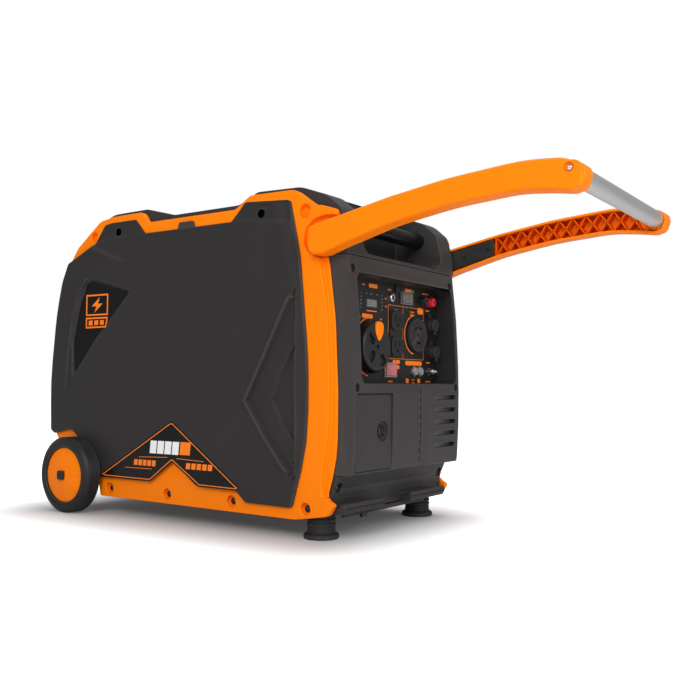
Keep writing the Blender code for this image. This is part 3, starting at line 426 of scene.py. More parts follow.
# ---------------------------------------------------------------- side frames
FRAME_IN, FRAME_OUT = 0.1535, 0.164
COVER_IN, COVER_OUT = 0.1643, 0.1673
GROUND = -0.0045            # height of the ground in the coordinates of this code
WHEEL_X, WHEEL_R = -0.5365, 0.0625
WHEEL_Z = GROUND + WHEEL_R
PIVOT = (-0.02, 0.4105)
RECOIL_X, RECOIL_Z = -0.325, 0.225      # where the starter rope leaves the right cover
FRAME_OUTLINE = [
    (-0.5725, 0.4161, 0.006), (-0.553, 0.4415, 0.03), (-0.496, 0.4815, 0.03),
    (-0.46, 0.486, 0.05), (-0.3953, 0.4865, 0.012), (-0.3825, 0.4685, 0.012),
    (-0.1947, 0.4685, 0.012), (-0.165, 0.4865, 0.015), (-0.082, 0.485, 0.03),
    (-0.0451, 0.459, 0.01), (-0.0345, 0.4575, 0.006), (-0.0125, 0.4505, 0.004),
    (-0.009, 0.4405, 0.002), (-0.011, 0.435, 0.002), (-0.03, 0.431, 0.004),
    (-0.03, 0.39, 0.004), (-0.0262, 0.374, 0.006), (-0.0165, 0.3, 0.3), (-0.0115, 0.2, 0.3),
    (-0.012, 0.11, 0.2), (-0.028, 0.055, 0.02), (-0.0125, 0.047, 0.003),
    (-0.022, 0.031, 0.012), (-0.0774, 0.0221, 0.08), (-0.4854, 0.0247, 0.003),
    (-0.493, 0.0575, 0.003), (-0.503, 0.0575, 0.003), (-0.508, 0.042, 0.012),
    (-0.565, 0.042, 0.02), (-0.5955, 0.11, 0.03), (-0.609, 0.133, 0.02),
    (-0.6085, 0.2134, 0.4), (-0.5935, 0.3336, 0.4), (-0.5815, 0.3736, 0.1),
]
FRAME_WINDOW = [
    (-0.555, 0.405, 0.02), (-0.5, 0.43, 0.01), (-0.475, 0.442, 0.01),
    (-0.41, 0.442, 0.01), (-0.39, 0.437, 0.01), (-0.19, 0.437, 0.01),
    (-0.165, 0.445, 0.01), (-0.107, 0.442, 0.01), (-0.085, 0.39, 0.2),
    (-0.069, 0.23, 0.4), (-0.072, 0.115, 0.1), (-0.085, 0.075, 0.01),
    (-0.25, 0.075, 0.01), (-0.3, 0.105, 0.02), (-0.34, 0.105, 0.02),
    (-0.38, 0.075, 0.01), (-0.475, 0.075, 0.01), (-0.505, 0.125, 0.03),
    (-0.54, 0.145, 0.03), (-0.59, 0.145, 0.01), (-0.5935, 0.215, 0.3),
    (-0.576, 0.34, 0.3),
]
ARM_POCKET = [
    (0.01, 0.4405), (-0.0092, 0.4415, 0.003), (-0.03, 0.4435, 0.02), (-0.049, 0.4395, 0.02),
    (-0.064, 0.427, 0.02), (-0.0665, 0.407, 0.02), (-0.059, 0.3935, 0.015),
    (-0.042, 0.3858, 0.01), (0.01, 0.385),
]
RAIL_STEP = [               # the band in front of this line lies lower than the rest of the rail
    (-0.04, 0.387), (-0.034, 0.36, 0.05), (-0.0262, 0.3239, 0.2), (-0.0205, 0.2236, 0.3),
    (-0.0221, 0.1386, 0.2), (-0.0323, 0.0884, 0.05), (-0.0332, 0.0663, 0.02), (-0.03, 0.056),
    (0.02, 0.056), (0.02, 0.387),
]
SILL_SCREWS = (-0.4627, -0.33, -0.1965, -0.06)
TOP_BORES = ((-0.5119, 0.456, 0.008), (-0.0642, 0.4522, 0.01))


def side_frames():
    screws = []
    for label, side in SIDES:
        body = plate("side_frame_" + label + "_look", [rounded(FRAME_OUTLINE), rounded(FRAME_WINDOW)],
                     *span(side, FRAME_IN, FRAME_OUT))
        cutters = [plate("pocket", [rounded(ARM_POCKET)], *span(side, 0.1553, 0.18)),
                   plate("step", [rounded(RAIL_STEP)], *span(side, 0.1566, 0.18)),
                   rod("bore", (WHEEL_X, side * 0.16, WHEEL_Z), "Y", 0.0063, 0.05)]
        for x in SILL_SCREWS:
            cutters.append(rod("sill", (x, side * (FRAME_OUT + 0.0005), 0.0383), "Y", 0.0085, 0.016))
            screws.append(screw((x, side * (FRAME_OUT - 0.0072), 0.0383), "Y", side, 0.0052, 0.0035))
        for x, z, radius in TOP_BORES:
            cutters.append(rod("top", (x, side * FRAME_OUT, z), "Y", radius, 0.017))
        carve(body, *cutters)
        soft(body, 0.0013, 3)
        show(body, ORANGE)
    return screws


# ---------------------------------------------------------------- side covers
COVER_OUTLINE = [
    (-0.572, 0.4165, 0.006), (-0.5075, 0.4437, 0.02), (-0.483, 0.4735, 0.01),
    (-0.469, 0.4755, 0.01), (-0.408, 0.4755, 0.008), (-0.3851, 0.451, 0.006),
    (-0.1998, 0.4505, 0.006), (-0.174, 0.477, 0.008), (-0.0952, 0.4715, 0.006),
    (-0.0876, 0.4684, 0.003), (-0.07, 0.39, 0.3), (-0.055, 0.24, 0.5),
    (-0.055, 0.13, 0.3), (-0.081, 0.0385, 0.006), (-0.1649, 0.0395, 0.006),
    (-0.183, 0.055, 0.006), (-0.262, 0.0561, 0.01), (-0.309, 0.0885, 0.01),
    (-0.329, 0.0885, 0.01), (-0.373, 0.0561, 0.01), (-0.492, 0.0561, 0.004),
    (-0.51, 0.098, 0.06), (-0.556, 0.133, 0.02), (-0.6005, 0.1233, 0.006),
    (-0.61, 0.129, 0.006), (-0.6125, 0.2134, 0.5), (-0.5995, 0.33, 0.4),
    (-0.5868, 0.383, 0.08),
]
CHEVRON = [(-0.0839, 0.3339), (-0.1239, 0.2588), (-0.164, 0.1863), (-0.1267, 0.1348), (-0.0876, 0.0885)]
INNER = [(-0.0775, 0.2644), (-0.0985, 0.2293), (-0.1168, 0.1871), (-0.0977, 0.1552), (-0.0762, 0.1304)]
CREASE = [(-0.12, 0.442), (-0.1454, 0.4355), (-0.2168, 0.4148), (-0.2979, 0.3968), (-0.3277, 0.381),
          (-0.3737, 0.351), (-0.4428, 0.287), (-0.487, 0.2423), (-0.5561, 0.1725)]
SHORT_CREASE = [(-0.512, 0.438), (-0.4977, 0.4349), (-0.4629, 0.4206), (-0.4235, 0.408), (-0.41, 0.404)]
RECESS = [(-0.5141, 0.3865), (-0.4142, 0.3614), (-0.4603, 0.3177), (-0.4996, 0.2808), (-0.5543, 0.2175),
          (-0.558, 0.2822), (-0.5417, 0.3483), (-0.526, 0.379)]
RIDGE = [(-0.52, 0.3861), (-0.542, 0.36), (-0.5542, 0.3213), (-0.5637, 0.2665), (-0.5692, 0.2037)]
SHOULDER_X = (-0.64, -0.572, -0.5075, -0.483, -0.3851, -0.1998, -0.09, -0.05)
SHOULDER_Z = (0.405, 0.412, 0.44, 0.4475, 0.452, 0.452, 0.439, 0.43)
FRONT_EDGE = (
    (0.045, 0.081, 0.128, 0.239, 0.328, 0.427, 0.468),
    (-0.0742, -0.0605, -0.053, -0.054, -0.0608, -0.0779, -0.0906),
)


def reach(points, line, closed=False):
    """Distance from each point to a polyline."""
    best = np.full(len(points), 1e9)
    ends = list(zip(line, line[1:])) + ([(line[-1], line[0])] if closed else [])
    for first, second in ends:
        first, second = np.array(first), np.array(second)
        way = second - first
        t = np.clip(((points - first) @ way) / (way @ way), 0, 1)
        best = np.minimum(best, np.linalg.norm(points - first - t[:, None] * way, axis=1))
    return best


def inside(points, loop):
    """Which points lie inside a closed outline."""
    result = np.zeros(len(points), bool)
    for (ax, ay), (bx, by) in zip(loop, loop[1:] + loop[:1]):
        crosses = (ay > points[:, 1]) != (by > points[:, 1])
        with np.errstate(divide="ignore", invalid="ignore"):
            at = (bx - ax) * (points[:, 1] - ay) / (by - ay) + ax
        result ^= crosses & (points[:, 0] < at)
    return result


def ease(value, start, end):
    t = np.clip((value - start) / (end - start), 0, 1)
    return t * t * (3 - 2 * t)


COVER_LOOP = ccw(rounded(COVER_OUTLINE))
RIM, RIM_DEPTH = 0.003, 0.0024
COVER_FACE, RIM_LOW = 0.0048, 0.0004    # face and lowest rim over the cover's inner plane
FILM = 0.0003                           # thickness of a printed film
STEP = 0.0034                           # height of a step or a bead in the relief


def relief(points):
    """Height of the cover's outer face over its rim plane, at each (x, z)."""
    x, z = points[:, 0], points[:, 1]
    lift = 0.0012 + 0.0014 * (1 - ((z - 0.25) / 0.23) ** 2)
    # the face drops above the long diagonal crease, with a shallow valley along it
    diagonal = np.interp(x, [p[0] for p in reversed(CREASE)], [p[1] for p in reversed(CREASE)])
    fade = ease(x, -0.57, -0.46)
    lift -= STEP * ease(z - diagonal, -0.002, 0.012) * fade * ease(-x, 0.11, 0.14)
    near = reach(points, CREASE)
    lift -= 0.0014 * np.exp(-(near / 0.0045) ** 2) * ease(x, -0.56, -0.5)
    short = np.interp(x, [p[0] for p in SHORT_CREASE], [p[1] for p in SHORT_CREASE])
    lift += 0.003 * np.exp(-((z - short) / 0.0036) ** 2) * ease(-x, 0.405, 0.45) * ease(x, -0.53, -0.5)
    # chevron: a narrow bead with a lower field in front of it, and a second step
    near = reach(points, CHEVRON)
    field = inside(points, CHEVRON + [(-0.077, 0.074), (-0.077, 0.347)])
    ends = ease(z, 0.08, 0.09) * ease(-z, -0.345, -0.325)
    lift += STEP * (1 - ease(near, 0.003, 0.0052)) * ends
    lift -= 0.003 * np.where(field, ease(near, 0.003, 0.0056), 0)
    near, field = reach(points, INNER), inside(points, INNER)
    lift -= STEP * np.where(field, ease(near, 0, 0.0024), 0)
    # chamfer along the front edge
    edge = np.interp(z, FRONT_EDGE[0], FRONT_EDGE[1])
    lift -= 0.2 * np.clip(x - edge + 0.02, 0, 0.014) * ease(z, 0.05, 0.09)
    # recess for the badge, with a ridge behind it
    near, field = reach(points, RECESS, True), inside(points, RECESS)
    lift -= STEP * np.where(field, ease(near, 0, 0.003), 0)
    lift += STEP * (1 - ease(reach(points, RIDGE), 0.001, 0.0038))
    # tabs at the top lie lower than the main face
    shoulder = np.interp(x, SHOULDER_X, SHOULDER_Z)
    lift -= STEP * ease(z - shoulder, 0, 0.006)
    return lift


MESH_SPACING = 0.003


def skin(loop, rings, extra):
    """Triangulated face over an outline: (points, triangles), fine enough to take the relief."""
    loops = [loop] + [inset(loop, distance) for distance in rings]
    points, edges = [], []
    for ring in loops:
        first = len(points)
        points += [tuple(p) for p in ring]
        count = len(ring)
        edges += [(first + k, first + (k + 1) % count) for k in range(count)]
    for line in extra:
        fine = []
        for a, b in zip(line, line[1:]):
            a, b = Vector(a), Vector(b)
            count = max(1, int((b - a).length / MESH_SPACING))
            fine += [tuple(a.lerp(b, k / count)) for k in range(count)]
        points += fine
    low, high = np.min(loop, axis=0), np.max(loop, axis=0)
    grid = np.array([
        (a, b) for a in np.arange(low[0], high[0], MESH_SPACING)
        for b in np.arange(low[1], high[1], MESH_SPACING * 0.9)])
    grid[:, 0] += 0.25 * MESH_SPACING * (np.round(grid[:, 1] / MESH_SPACING).astype(int) % 2)
    margin = (rings[-1] if rings else 0) + MESH_SPACING * 0.6
    keep = inside(grid, loop) & (reach(grid, loop, True) > margin)
    for line in extra:
        keep &= reach(grid, line) > MESH_SPACING * 0.5
    points += [tuple(p) for p in grid[keep]]
    out = delaunay_2d_cdt([Vector(p) for p in points], edges, [], 0, 1e-6)
    flat = np.array([tuple(p) for p in out[0]])
    within = inside(np.array([flat[list(f)].mean(axis=0) for f in out[2]]), loop)
    return flat, [f for f, yes in zip(out[2], within) if yes]


def lay(name, loop, side, top, bottom, rings=(0.0005, 0.0014, 0.003), extra=()):
    """Closed shell in an XZ outline: top(points) and bottom(points) are heights over COVER_IN."""
    flat, faces = skin(loop, rings, extra)
    work = bmesh.new()
    layers = []
    for height in (top(flat), bottom(flat)):
        layers.append([work.verts.new((x, side * (COVER_IN + h), z)) for (x, z), h in zip(flat, height)])
    upper, lower = layers
    border = {}
    for f in faces:
        work.faces.new([upper[i] for i in f])
        work.faces.new([lower[i] for i in reversed(f)])
        for a, b in zip(f, f[1:] + f[:1]):
            if (b, a) in border:
                del border[(b, a)]
            else:
                border[(a, b)] = True
    for a, b in border:
        work.faces.new((upper[b], upper[a], lower[a], lower[b]))
    for vert in [v for v in work.verts if not v.link_faces]:
        work.verts.remove(vert)
    bmesh.ops.recalc_face_normals(work, faces=work.faces)
    return from_bmesh(name, work)


def rim_fall(points):
    """Drop of the face towards the cover's edge, along a quarter of an ellipse."""
    gap = np.clip(reach(points, COVER_LOOP, True), 0, RIM)
    return -RIM_DEPTH * (1 - np.sqrt(np.clip(1 - ((RIM - gap) / RIM) ** 2, 0, 1)))


def stretch(line, width):
    """Closed outline of a band of that width along a polyline."""
    line = [Vector(p) for p in line]
    left, right = [], []
    for i, here in enumerate(line):
        before = (here - line[i - 1]).normalized() if i else None
        after = (line[i + 1] - here).normalized() if i + 1 < len(line) else None
        way = ((before or after) + (after or before)).normalized()
        scale = 1.0
        if before and after:
            scale = 1 / max(0.45, math.cos(before.angle(after) / 2))
        normal = Vector((-way.y, way.x)) * width / 2 * scale
        left.append(tuple(here + normal))
        right.append(tuple(here - normal))
    return ccw(left + right[::-1])


DECAL = [(-0.3135, 0.153), (-0.4772, 0.0613), (-0.466, 0.0572), (-0.36, 0.0568), (-0.312, 0.09),
         (-0.255, 0.056), (-0.182, 0.0552), (-0.174, 0.059)]
DECAL_CORNERS = [(x, z, 0.01 if k == 0 else 0.002) for k, (x, z) in enumerate(DECAL)]


def bars(rows):
    """Slanted bars (x, z, width, height) that stand in for printing."""
    out = []
    for x, z, width, height in rows:
        lean = height * 0.12
        out.append([(x, z), (x + width, z), (x + width + lean, z + height), (x + lean, z + height)])
    return out


def face_of(points):
    """Height of the cover's face over its inner plane, away from its rim."""
    return np.maximum(COVER_FACE + relief(points), RIM_LOW)


def on_cover(name, loops, side, thick, finish):
    """Thin printed shapes that follow the cover's relief."""
    made = []
    for loop in loops:
        made.append(lay(name, ccw(loop), side, lambda p: face_of(p) + thick,
                        lambda p: face_of(p) - FILM, rings=()))
    show(join(name, made), finish, angle=50)


def side_covers():
    holes = []
    for label, side in SIDES:
        extra = [CHEVRON, INNER, RIDGE, RECESS + RECESS[:1], CREASE]
        for line, widths in ((CHEVRON, (0.006, 0.0104)), (INNER, (0.0046,)), (RIDGE, (0.002, 0.0076))):
            extra += [stretch(line, width) for width in widths]
        body = lay("side_cover_" + label + "_look", COVER_LOOP, side,
                   lambda p: np.maximum(COVER_FACE + relief(p) + rim_fall(p), RIM_LOW),
                   lambda p: np.zeros(len(p)), extra=extra)
        cutters = []
        for x, z in ((-0.4495, 0.459), (-0.143, 0.457)):
            cutters.append(rod("tab", (x, side * COVER_OUT, z), "Y", 0.0068, 0.02))
            # A near-black disc under each tab hole: its screw, with the hole's shade painted on.
            holes.append(rod("hole", (x, side * (FRAME_OUT + 0.0004), z), "Y", 0.0067, 0.0005))
        if side > 0:
            place = (RECOIL_X, COVER_OUT, RECOIL_Z)
            cutters.append(rod("rope", place, "Y", 0.0045, 0.02))
            cutters.append(turned("dish", [(0, 0.02), (0.026, 0.02), (0.015, 0.0), (0, 0.0)], place, "Y"))
        carve(body, *cutters)
        show(body, CHARCOAL, angle=32)
        badge(label, side)
        decal(label, side)
    show(join("tab_holes", holes), SCREW_AND_HOLE_SHADE)


def badge(label, side):
    """Glossy field in the rear recess with a plain mark: a framed square and a bolt shape."""
    field = rounded([(x, z, 0.004) for x, z in inset(ccw(RECESS), 0.0045)])
    on_cover("badge_" + label, [field], side, FILM, GLOSS)
    x0, x1, z0, z1, line = -0.525, -0.4725, 0.302, 0.3585, 0.0026
    middle, sill = (x0 + x1) / 2, z0 + 0.018
    low, high = sill + 0.003, z1
    plain = [slab(x0, x1, high - line, high), slab(x0, x1, low, low + line),
             slab(x0, x0 + line, low + line, high - line), slab(x1 - line, x1, low + line, high - line)]
    rise = (low + high) / 2
    bolt = [(middle + 0.006, high - 0.005), (middle - 0.013, rise - 0.002), (middle - 0.0015, rise - 0.002),
            (middle - 0.006, low + 0.005), (middle + 0.013, rise + 0.002), (middle + 0.0015, rise + 0.002)]
    frame_box = [slab(x0, x0 + line, z0, sill), slab(x1 - line, x1, z0, sill),
                 slab(x0 + line, x1 - line, z0, z0 + line), slab(x0 + line, x1 - line, sill - line, sill)]
    stroke = [
        slab(x0 + 0.007 + 0.0135 * k, x0 + 0.016 + 0.0135 * k, z0 + 0.005, sill - 0.005) for k in range(3)]
    on_cover("badge_mark_" + label, plain + [bolt] + frame_box + stroke, side, 2 * FILM, INK)


def decal(label, side):
    loop = rounded(DECAL_CORNERS)
    on_cover("decal_" + label, [loop], side, FILM, GLOSS)
    edge = inset(ccw(loop), 0.003)
    edge.append(edge[0])
    marks = [stretch(edge[k:k + 2], 0.0013) for k in range(len(edge) - 1)]
    marks += [stretch([(-0.3854, 0.094), (-0.322, 0.0962)], 0.0008),
              stretch([(-0.302, 0.0955), (-0.2451, 0.0937)], 0.0008),
              stretch([(-0.4173, 0.0758), (-0.356, 0.0764)], 0.0008)]
    marks += bars([(-0.397 + 0.0102 * k, 0.0808, 0.0078, 0.009) for k in range(5)])
    marks += bars([(-0.282 + 0.0113 * k, 0.0808, 0.0086, 0.009) for k in range(5)])
    marks += bars([(-0.2955, 0.1015, 0.0215, 0.0195)])
    on_cover("decal_marks_" + label, marks, side, 2 * FILM, INK)
    pale = bars([(-0.361 + 0.0162 * k, 0.101, 0.0138, 0.0198) for k in range(4)])
    on_cover("decal_bars_" + label, pale, side, 2 * FILM, WHITE)


# ---------------------------------------------------------------- top, fascia, skirt, rear, pan
BODY_HALF, WALL = 0.153, 0.003
FASCIA_BACK, FASCIA_BOTTOM, FASCIA_TOP = -0.045, 0.0859, 0.389
FACE_X = -0.0255
WINDOW_Y, WINDOW_Z = (-0.132, 0.145), (0.2115, 0.3655)
DOOR_Y, DOOR_Z = (-0.1455, -0.05), (0.09, 0.1975)
CAP_X, NECK_R = -0.265, 0.024
TOP_PROFILE = [
    (-0.5665, 0.418), (-0.553, 0.443, 0.03), (-0.5075, 0.479, 0.02), (-0.475, 0.4925, 0.05),
    (-0.395, 0.493, 0.02), (-0.3324, 0.4773, 0.02), (-0.1972, 0.4775, 0.02),
    (-0.16, 0.493, 0.02), (-0.08, 0.4905, 0.04), (-0.033, 0.474, 0.04),
    (-0.008, 0.4525, 0.02), (0.001, 0.418, 0.06), (0.0022, 0.3895), (FASCIA_BACK, 0.3895),
    (-0.09, 0.3895), (-0.09, 0.4435), (-0.5, 0.4435), (-0.53, 0.418),
]
POCKET_Y, POCKET_BACK, POCKET_BOTTOM = 0.113, -0.085, 0.3945


def top_shell():
    body = plate("top_shell_look", [rounded(TOP_PROFILE)], -BODY_HALF, BODY_HALF)
    pocket = plate("pocket", [slab(-POCKET_Y, POCKET_Y, POCKET_BOTTOM, 0.6, 0.018)],
                   POCKET_BACK, 0.05, "YZ")
    cutters = [pocket, rod("filler", (CAP_X, 0, 0.46), "Z", 0.04, 0.022)]
    for side in (-1, 1):
        cutters.append(rod("hinge", (PIVOT[0], side * BODY_HALF, PIVOT[1]), "Y", 0.0038, 0.04))
    carve(body, *cutters)
    soft(body, 0.0014, 3)
    show(body, CHARCOAL)
    ring = turned("filler_ring", [
        (0.0375, 0.473), (0.044, 0.473), (0.044, 0.4782), (0.0425, 0.4795), (0.0395, 0.4795),
        (0.0378, 0.478), (0.0375, 0.473)], (CAP_X, 0, 0), "Z")
    show(ring, BLACK)
    hooks = []
    for side in (-1, 1):
        y = span(side, 0.153, 0.1678)
        hooks.append(plate("hook", [rounded([
            (-0.311, 0.4485, 0.002), (-0.275, 0.4485, 0.002), (-0.278, 0.4602, 0.003),
            (-0.3075, 0.4602, 0.003)])], *y))
    hooks = join("top_hooks", hooks)
    soft(hooks, 0.0008, 2)
    show(hooks, CHARCOAL)


def carry_handle():
    x, z, radius = -0.0425, 0.445, 0.0125
    half = POCKET_Y - 0.0003
    profile = [
        (0, -half), (radius * 0.97, -half), (radius, -half + 0.008), (radius, -0.06),
        (radius * 0.98, -0.058)]
    mirrored = [(r, -y) for r, y in reversed(profile)]
    show(turned("carry_handle_look", profile + mirrored, (x, 0, z), "Y", 64), GLOSS, angle=50)


FASCIA_FACE = [
    (0.0, FASCIA_TOP), (0.0022, 0.3667, 0.2), (0.0076, 0.3168, 0.3), (0.0114, 0.2428, 0.3),
    (0.0124, 0.1937, 0.3), (0.012, 0.1447, 0.2), (0.0098, 0.1, 0.05), (0.0088, 0.088, 0.0015),
    (0.0065, FASCIA_BOTTOM),
]
SCREW_SPOTS = ((0.1403, 0.3706, 0.0018), (0.1428, 0.206, 0.0122), (0.1411, 0.068, -0.02))
LOUVRE_Z = (0.1904, 0.1709, 0.1522, 0.1343, 0.1156)
LOUVRE_Y = (0.074, 0.141)
LINER_STEP = 0.0018


def front_fascia():
    profile = rounded(FASCIA_FACE + [(FASCIA_BACK, FASCIA_BOTTOM), (FASCIA_BACK, FASCIA_TOP)], 0.03)
    body = plate("front_fascia_look", [profile], -BODY_HALF, BODY_HALF)
    hollow = block("hollow", (-0.06, WALL - BODY_HALF, FASCIA_BOTTOM + WALL),
                   (-0.0035, BODY_HALF - WALL, FASCIA_TOP - WALL))
    keep = plate("keep", [
        slab(WINDOW_Y[0] - WALL, WINDOW_Y[1] + WALL, WINDOW_Z[0] - WALL, WINDOW_Z[1] + WALL, 0.015),
    ], FACE_X + 0.0003, 0.02, "YZ")
    carve(hollow, keep)
    cutters = [hollow,
               plate("window", [slab(*WINDOW_Y, *WINDOW_Z, 0.012)], -0.08, 0.05, "YZ"),
               plate("door", [slab(*DOOR_Y, *DOOR_Z, 0.004)], -0.08, 0.05, "YZ")]
    for z in LOUVRE_Z:
        cutters.append(plate("louvre", [slab(*LOUVRE_Y, z - 0.0035, z + 0.0035, 0.0034)], -0.03, 0.05, "YZ"))
    screws = []
    for side in (-1, 1):
        for y, z, x in SCREW_SPOTS[:2]:
            cutters.append(rod("seat", (x + 0.004, side * y, z), "X", 0.0058, 0.016))
            screws.append(screw((x - 0.0046, side * y, z), "X", 1, 0.005, 0.003))
    cutters.append(block("groove", (0.0085, 0.0282, 0.096), (0.03, 0.0292, 0.2085)))
    carve(body, *cutters)
    soft(body, 0.0006, 2)
    show(body, CHARCOAL)
    # Black lining on the window's inner walls: partly the black panel tub, partly painted shade of the
    # recess.
    shade_liner = plate("window_liner", [
        slab(WINDOW_Y[0] + a, WINDOW_Y[1] - a, WINDOW_Z[0] + a, WINDOW_Z[1] - a, 0.012 - a)
        for a in (0.0001, 0.0007)], FACE_X + 0.0005, 0.02, "YZ")
    outer = rounded(FASCIA_FACE, 0.03)
    carve(shade_liner, plate("front", [
        [(x - LINER_STEP, z) for x, z in outer] + [(0.05, FASCIA_BOTTOM), (0.05, FASCIA_TOP)],
    ], -BODY_HALF, BODY_HALF))
    show(shade_liner, BLACK)
    heights = [p[1] for p in outer][::-1]
    depths = [p[0] for p in outer][::-1]
    rib, dashes, slats = [], [], []
    count = 26
    for k in range(count):
        low, high = 0.0975 + 0.111 * k / count, 0.0975 + 0.111 * (k + 1) / count
        near, far = np.interp([low, high], heights, depths)
        rib.append(wedge((near, far), (0.0002, 0.0018), (0.0298, 0.0322), (low, high)))
        if k % 3 == 1:
            dashes.append(wedge((near, far), (0.0, 0.0006), (0.025, 0.0262), (low, high)))
    for z in LOUVRE_Z:
        near, far = np.interp([z + 0.0036, z + 0.0052], heights, depths)
        slats.append(wedge(
            (near, far), (-0.001, 0.001), (LOUVRE_Y[0] - 0.004, LOUVRE_Y[1] + 0.002),
            (z + 0.0036, z + 0.0052)))
        slats.append(slat(z, heights, depths))
    show(join("fascia_rib", rib + slats), CHARCOAL)
    show(join("fascia_dashes", dashes), SMOKE)
    return screws


def cuboid(name, corners):
    """Six-sided solid from 8 corners; each bit of a corner's number is one of its directions."""
    work = bmesh.new()
    corners = [work.verts.new(corner) for corner in corners]
    for f in ((0, 1, 3, 2), (4, 6, 7, 5), (0, 4, 5, 1), (2, 3, 7, 6), (0, 2, 6, 4), (1, 5, 7, 3)):
        work.faces.new([corners[i] for i in f])
    bmesh.ops.recalc_face_normals(work, faces=work.faces)
    return from_bmesh(name, work)


def slat(z, heights, depths):
    """Louvre's blade: level with the face at its inner end and deep at the outer end."""
    corners = []
    for height in (z - 0.0033, z + 0.0033):
        front = np.interp(height, heights, depths)
        for y, depth in ((LOUVRE_Y[0] + 0.0004, 0.0004), (LOUVRE_Y[1] - 0.0004, 0.0085)):
            corners += [(front - depth, y, height), (front - 0.011, y, height)]
    return cuboid("slat", corners)


def wedge(front, over, y, z):
    """Small bar whose front follows a leaning face: front x at the lower and upper edge."""
    return cuboid("wedge", [
        (x + dx, side, height) for x, height in zip(front, z) for dx in over for side in y])


DOOR_FACE, DOOR_CLEAR = 0.0015, 0.0008
LOCK = (-0.0745, 0.144, 0.0098)


def service_door():
    y, z, radius = LOCK
    corners = slab(DOOR_Y[0] + DOOR_CLEAR, DOOR_Y[1] - DOOR_CLEAR, DOOR_Z[0] + DOOR_CLEAR,
                   DOOR_Z[1] - DOOR_CLEAR, 0.003)
    body = plate("service_door_look", [corners, circle(y, z, radius + 0.0004)],
                 DOOR_FACE - 0.0035, DOOR_FACE + 0.008, "YZ")
    carve(body,
          block("lining", (DOOR_FACE - 0.02, DOOR_Y[0] + 0.004, DOOR_Z[0] + 0.004),
                (DOOR_FACE + 0.005, y - radius - 0.004, DOOR_Z[1] - 0.004)),
          turned("dish", [(0, 0.02), (radius + 0.006, 0.02), (radius + 0.0045, 0.0052), (0, 0.0052)],
                 (DOOR_FACE, y, z), "X"))
    soft(body, 0.0008, 3)
    show(body, CHARCOAL, "service_door")
    lock = turned("door_lock_look", [
        (0, 0.0052), (0.0045, 0.0052), (0.005, 0.0046), (0.0078, 0.0046), (0.0082, 0.0066),
        (radius - 0.0006, 0.0066), (radius, 0.006), (radius, -0.0025), (0, -0.0025)], (DOOR_FACE, y, z), "X")
    carve(lock, block("slot", (DOOR_FACE + 0.003, y - 0.0011, z - 0.0072),
                      (DOOR_FACE + 0.02, y + 0.0011, z + 0.0072)))
    soft(lock, 0.0003, 2)
    show(lock, BLACK, "door_lock")


SKIRT_PROFILE = [
    (FASCIA_BACK, 0.0855), (-0.0115, 0.0855, 0.002), (-0.02, 0.066, 0.01), (-0.0225, 0.055, 0.01),
    (-0.0225, 0.033), (-0.029, 0.033), (-0.029, 0.056), (-0.028, 0.066),
    (-0.023, 0.08), (FASCIA_BACK, 0.08),
]
CRADLE_PROFILE = [
    (-0.025, 0.033), (-0.004, 0.0335, 0.004), (0.0, 0.041, 0.004), (-0.002, 0.0478, 0.003),
    (-0.008, 0.0478, 0.002), (-0.011, 0.042, 0.004), (-0.02, 0.042, 0.003), (-0.025, 0.05),
]
CRADLE_Y = ((-0.1525, -0.051), (0.0255, 0.129))


def front_skirt():
    body = plate("front_skirt_look", [rounded(SKIRT_PROFILE)], -0.1525, 0.1525)
    parts = [plate("cradle", [rounded(CRADLE_PROFILE)], low, high) for low, high in CRADLE_Y]
    parts.append(block("apron", (-0.0285, -0.122, 0.025), (-0.0235, 0.102, 0.04)))
    parts.append(block("lug", (-0.028, -0.077, 0.0204), (-0.023, -0.064, 0.04)))
    weld(body, *parts)
    screws, cutters = [], []
    y, z, x = SCREW_SPOTS[2]
    for side in (-1, 1):
        cutters.append(rod("seat", (-0.0195, side * y, z), "X", 0.0068, 0.009))
        screws.append(screw((x - 0.0035, side * y, z), "X", 1, 0.0048, 0.003))
    for low, high in CRADLE_Y:
        cutters.append(block("groove", (-0.0012, low + 0.004, 0.0395), (0.004, high - 0.004, 0.0412)))
    carve(body, *cutters)
    soft(body, 0.0009, 3)
    show(body, CHARCOAL)
    return screws


REAR_OUTER = [
    (-0.5668, 0.4177), (-0.5765, 0.396, 0.05), (-0.587, 0.366, 0.1), (-0.602, 0.28, 0.3),
    (-0.608, 0.205, 0.3), (-0.6055, 0.13, 0.05), (-0.593, 0.0783),
]
REAR_INNER = [
    (-0.59, 0.0783), (-0.6025, 0.1305, 0.05), (-0.605, 0.205, 0.3), (-0.599, 0.2795, 0.3),
    (-0.584, 0.365, 0.1), (-0.5737, 0.3945, 0.05), (-0.564, 0.4177),
]
EXHAUST = (0.055, 0.26, 0.03)
VENT_Z = [0.16 + 0.022 * k for k in range(8)]


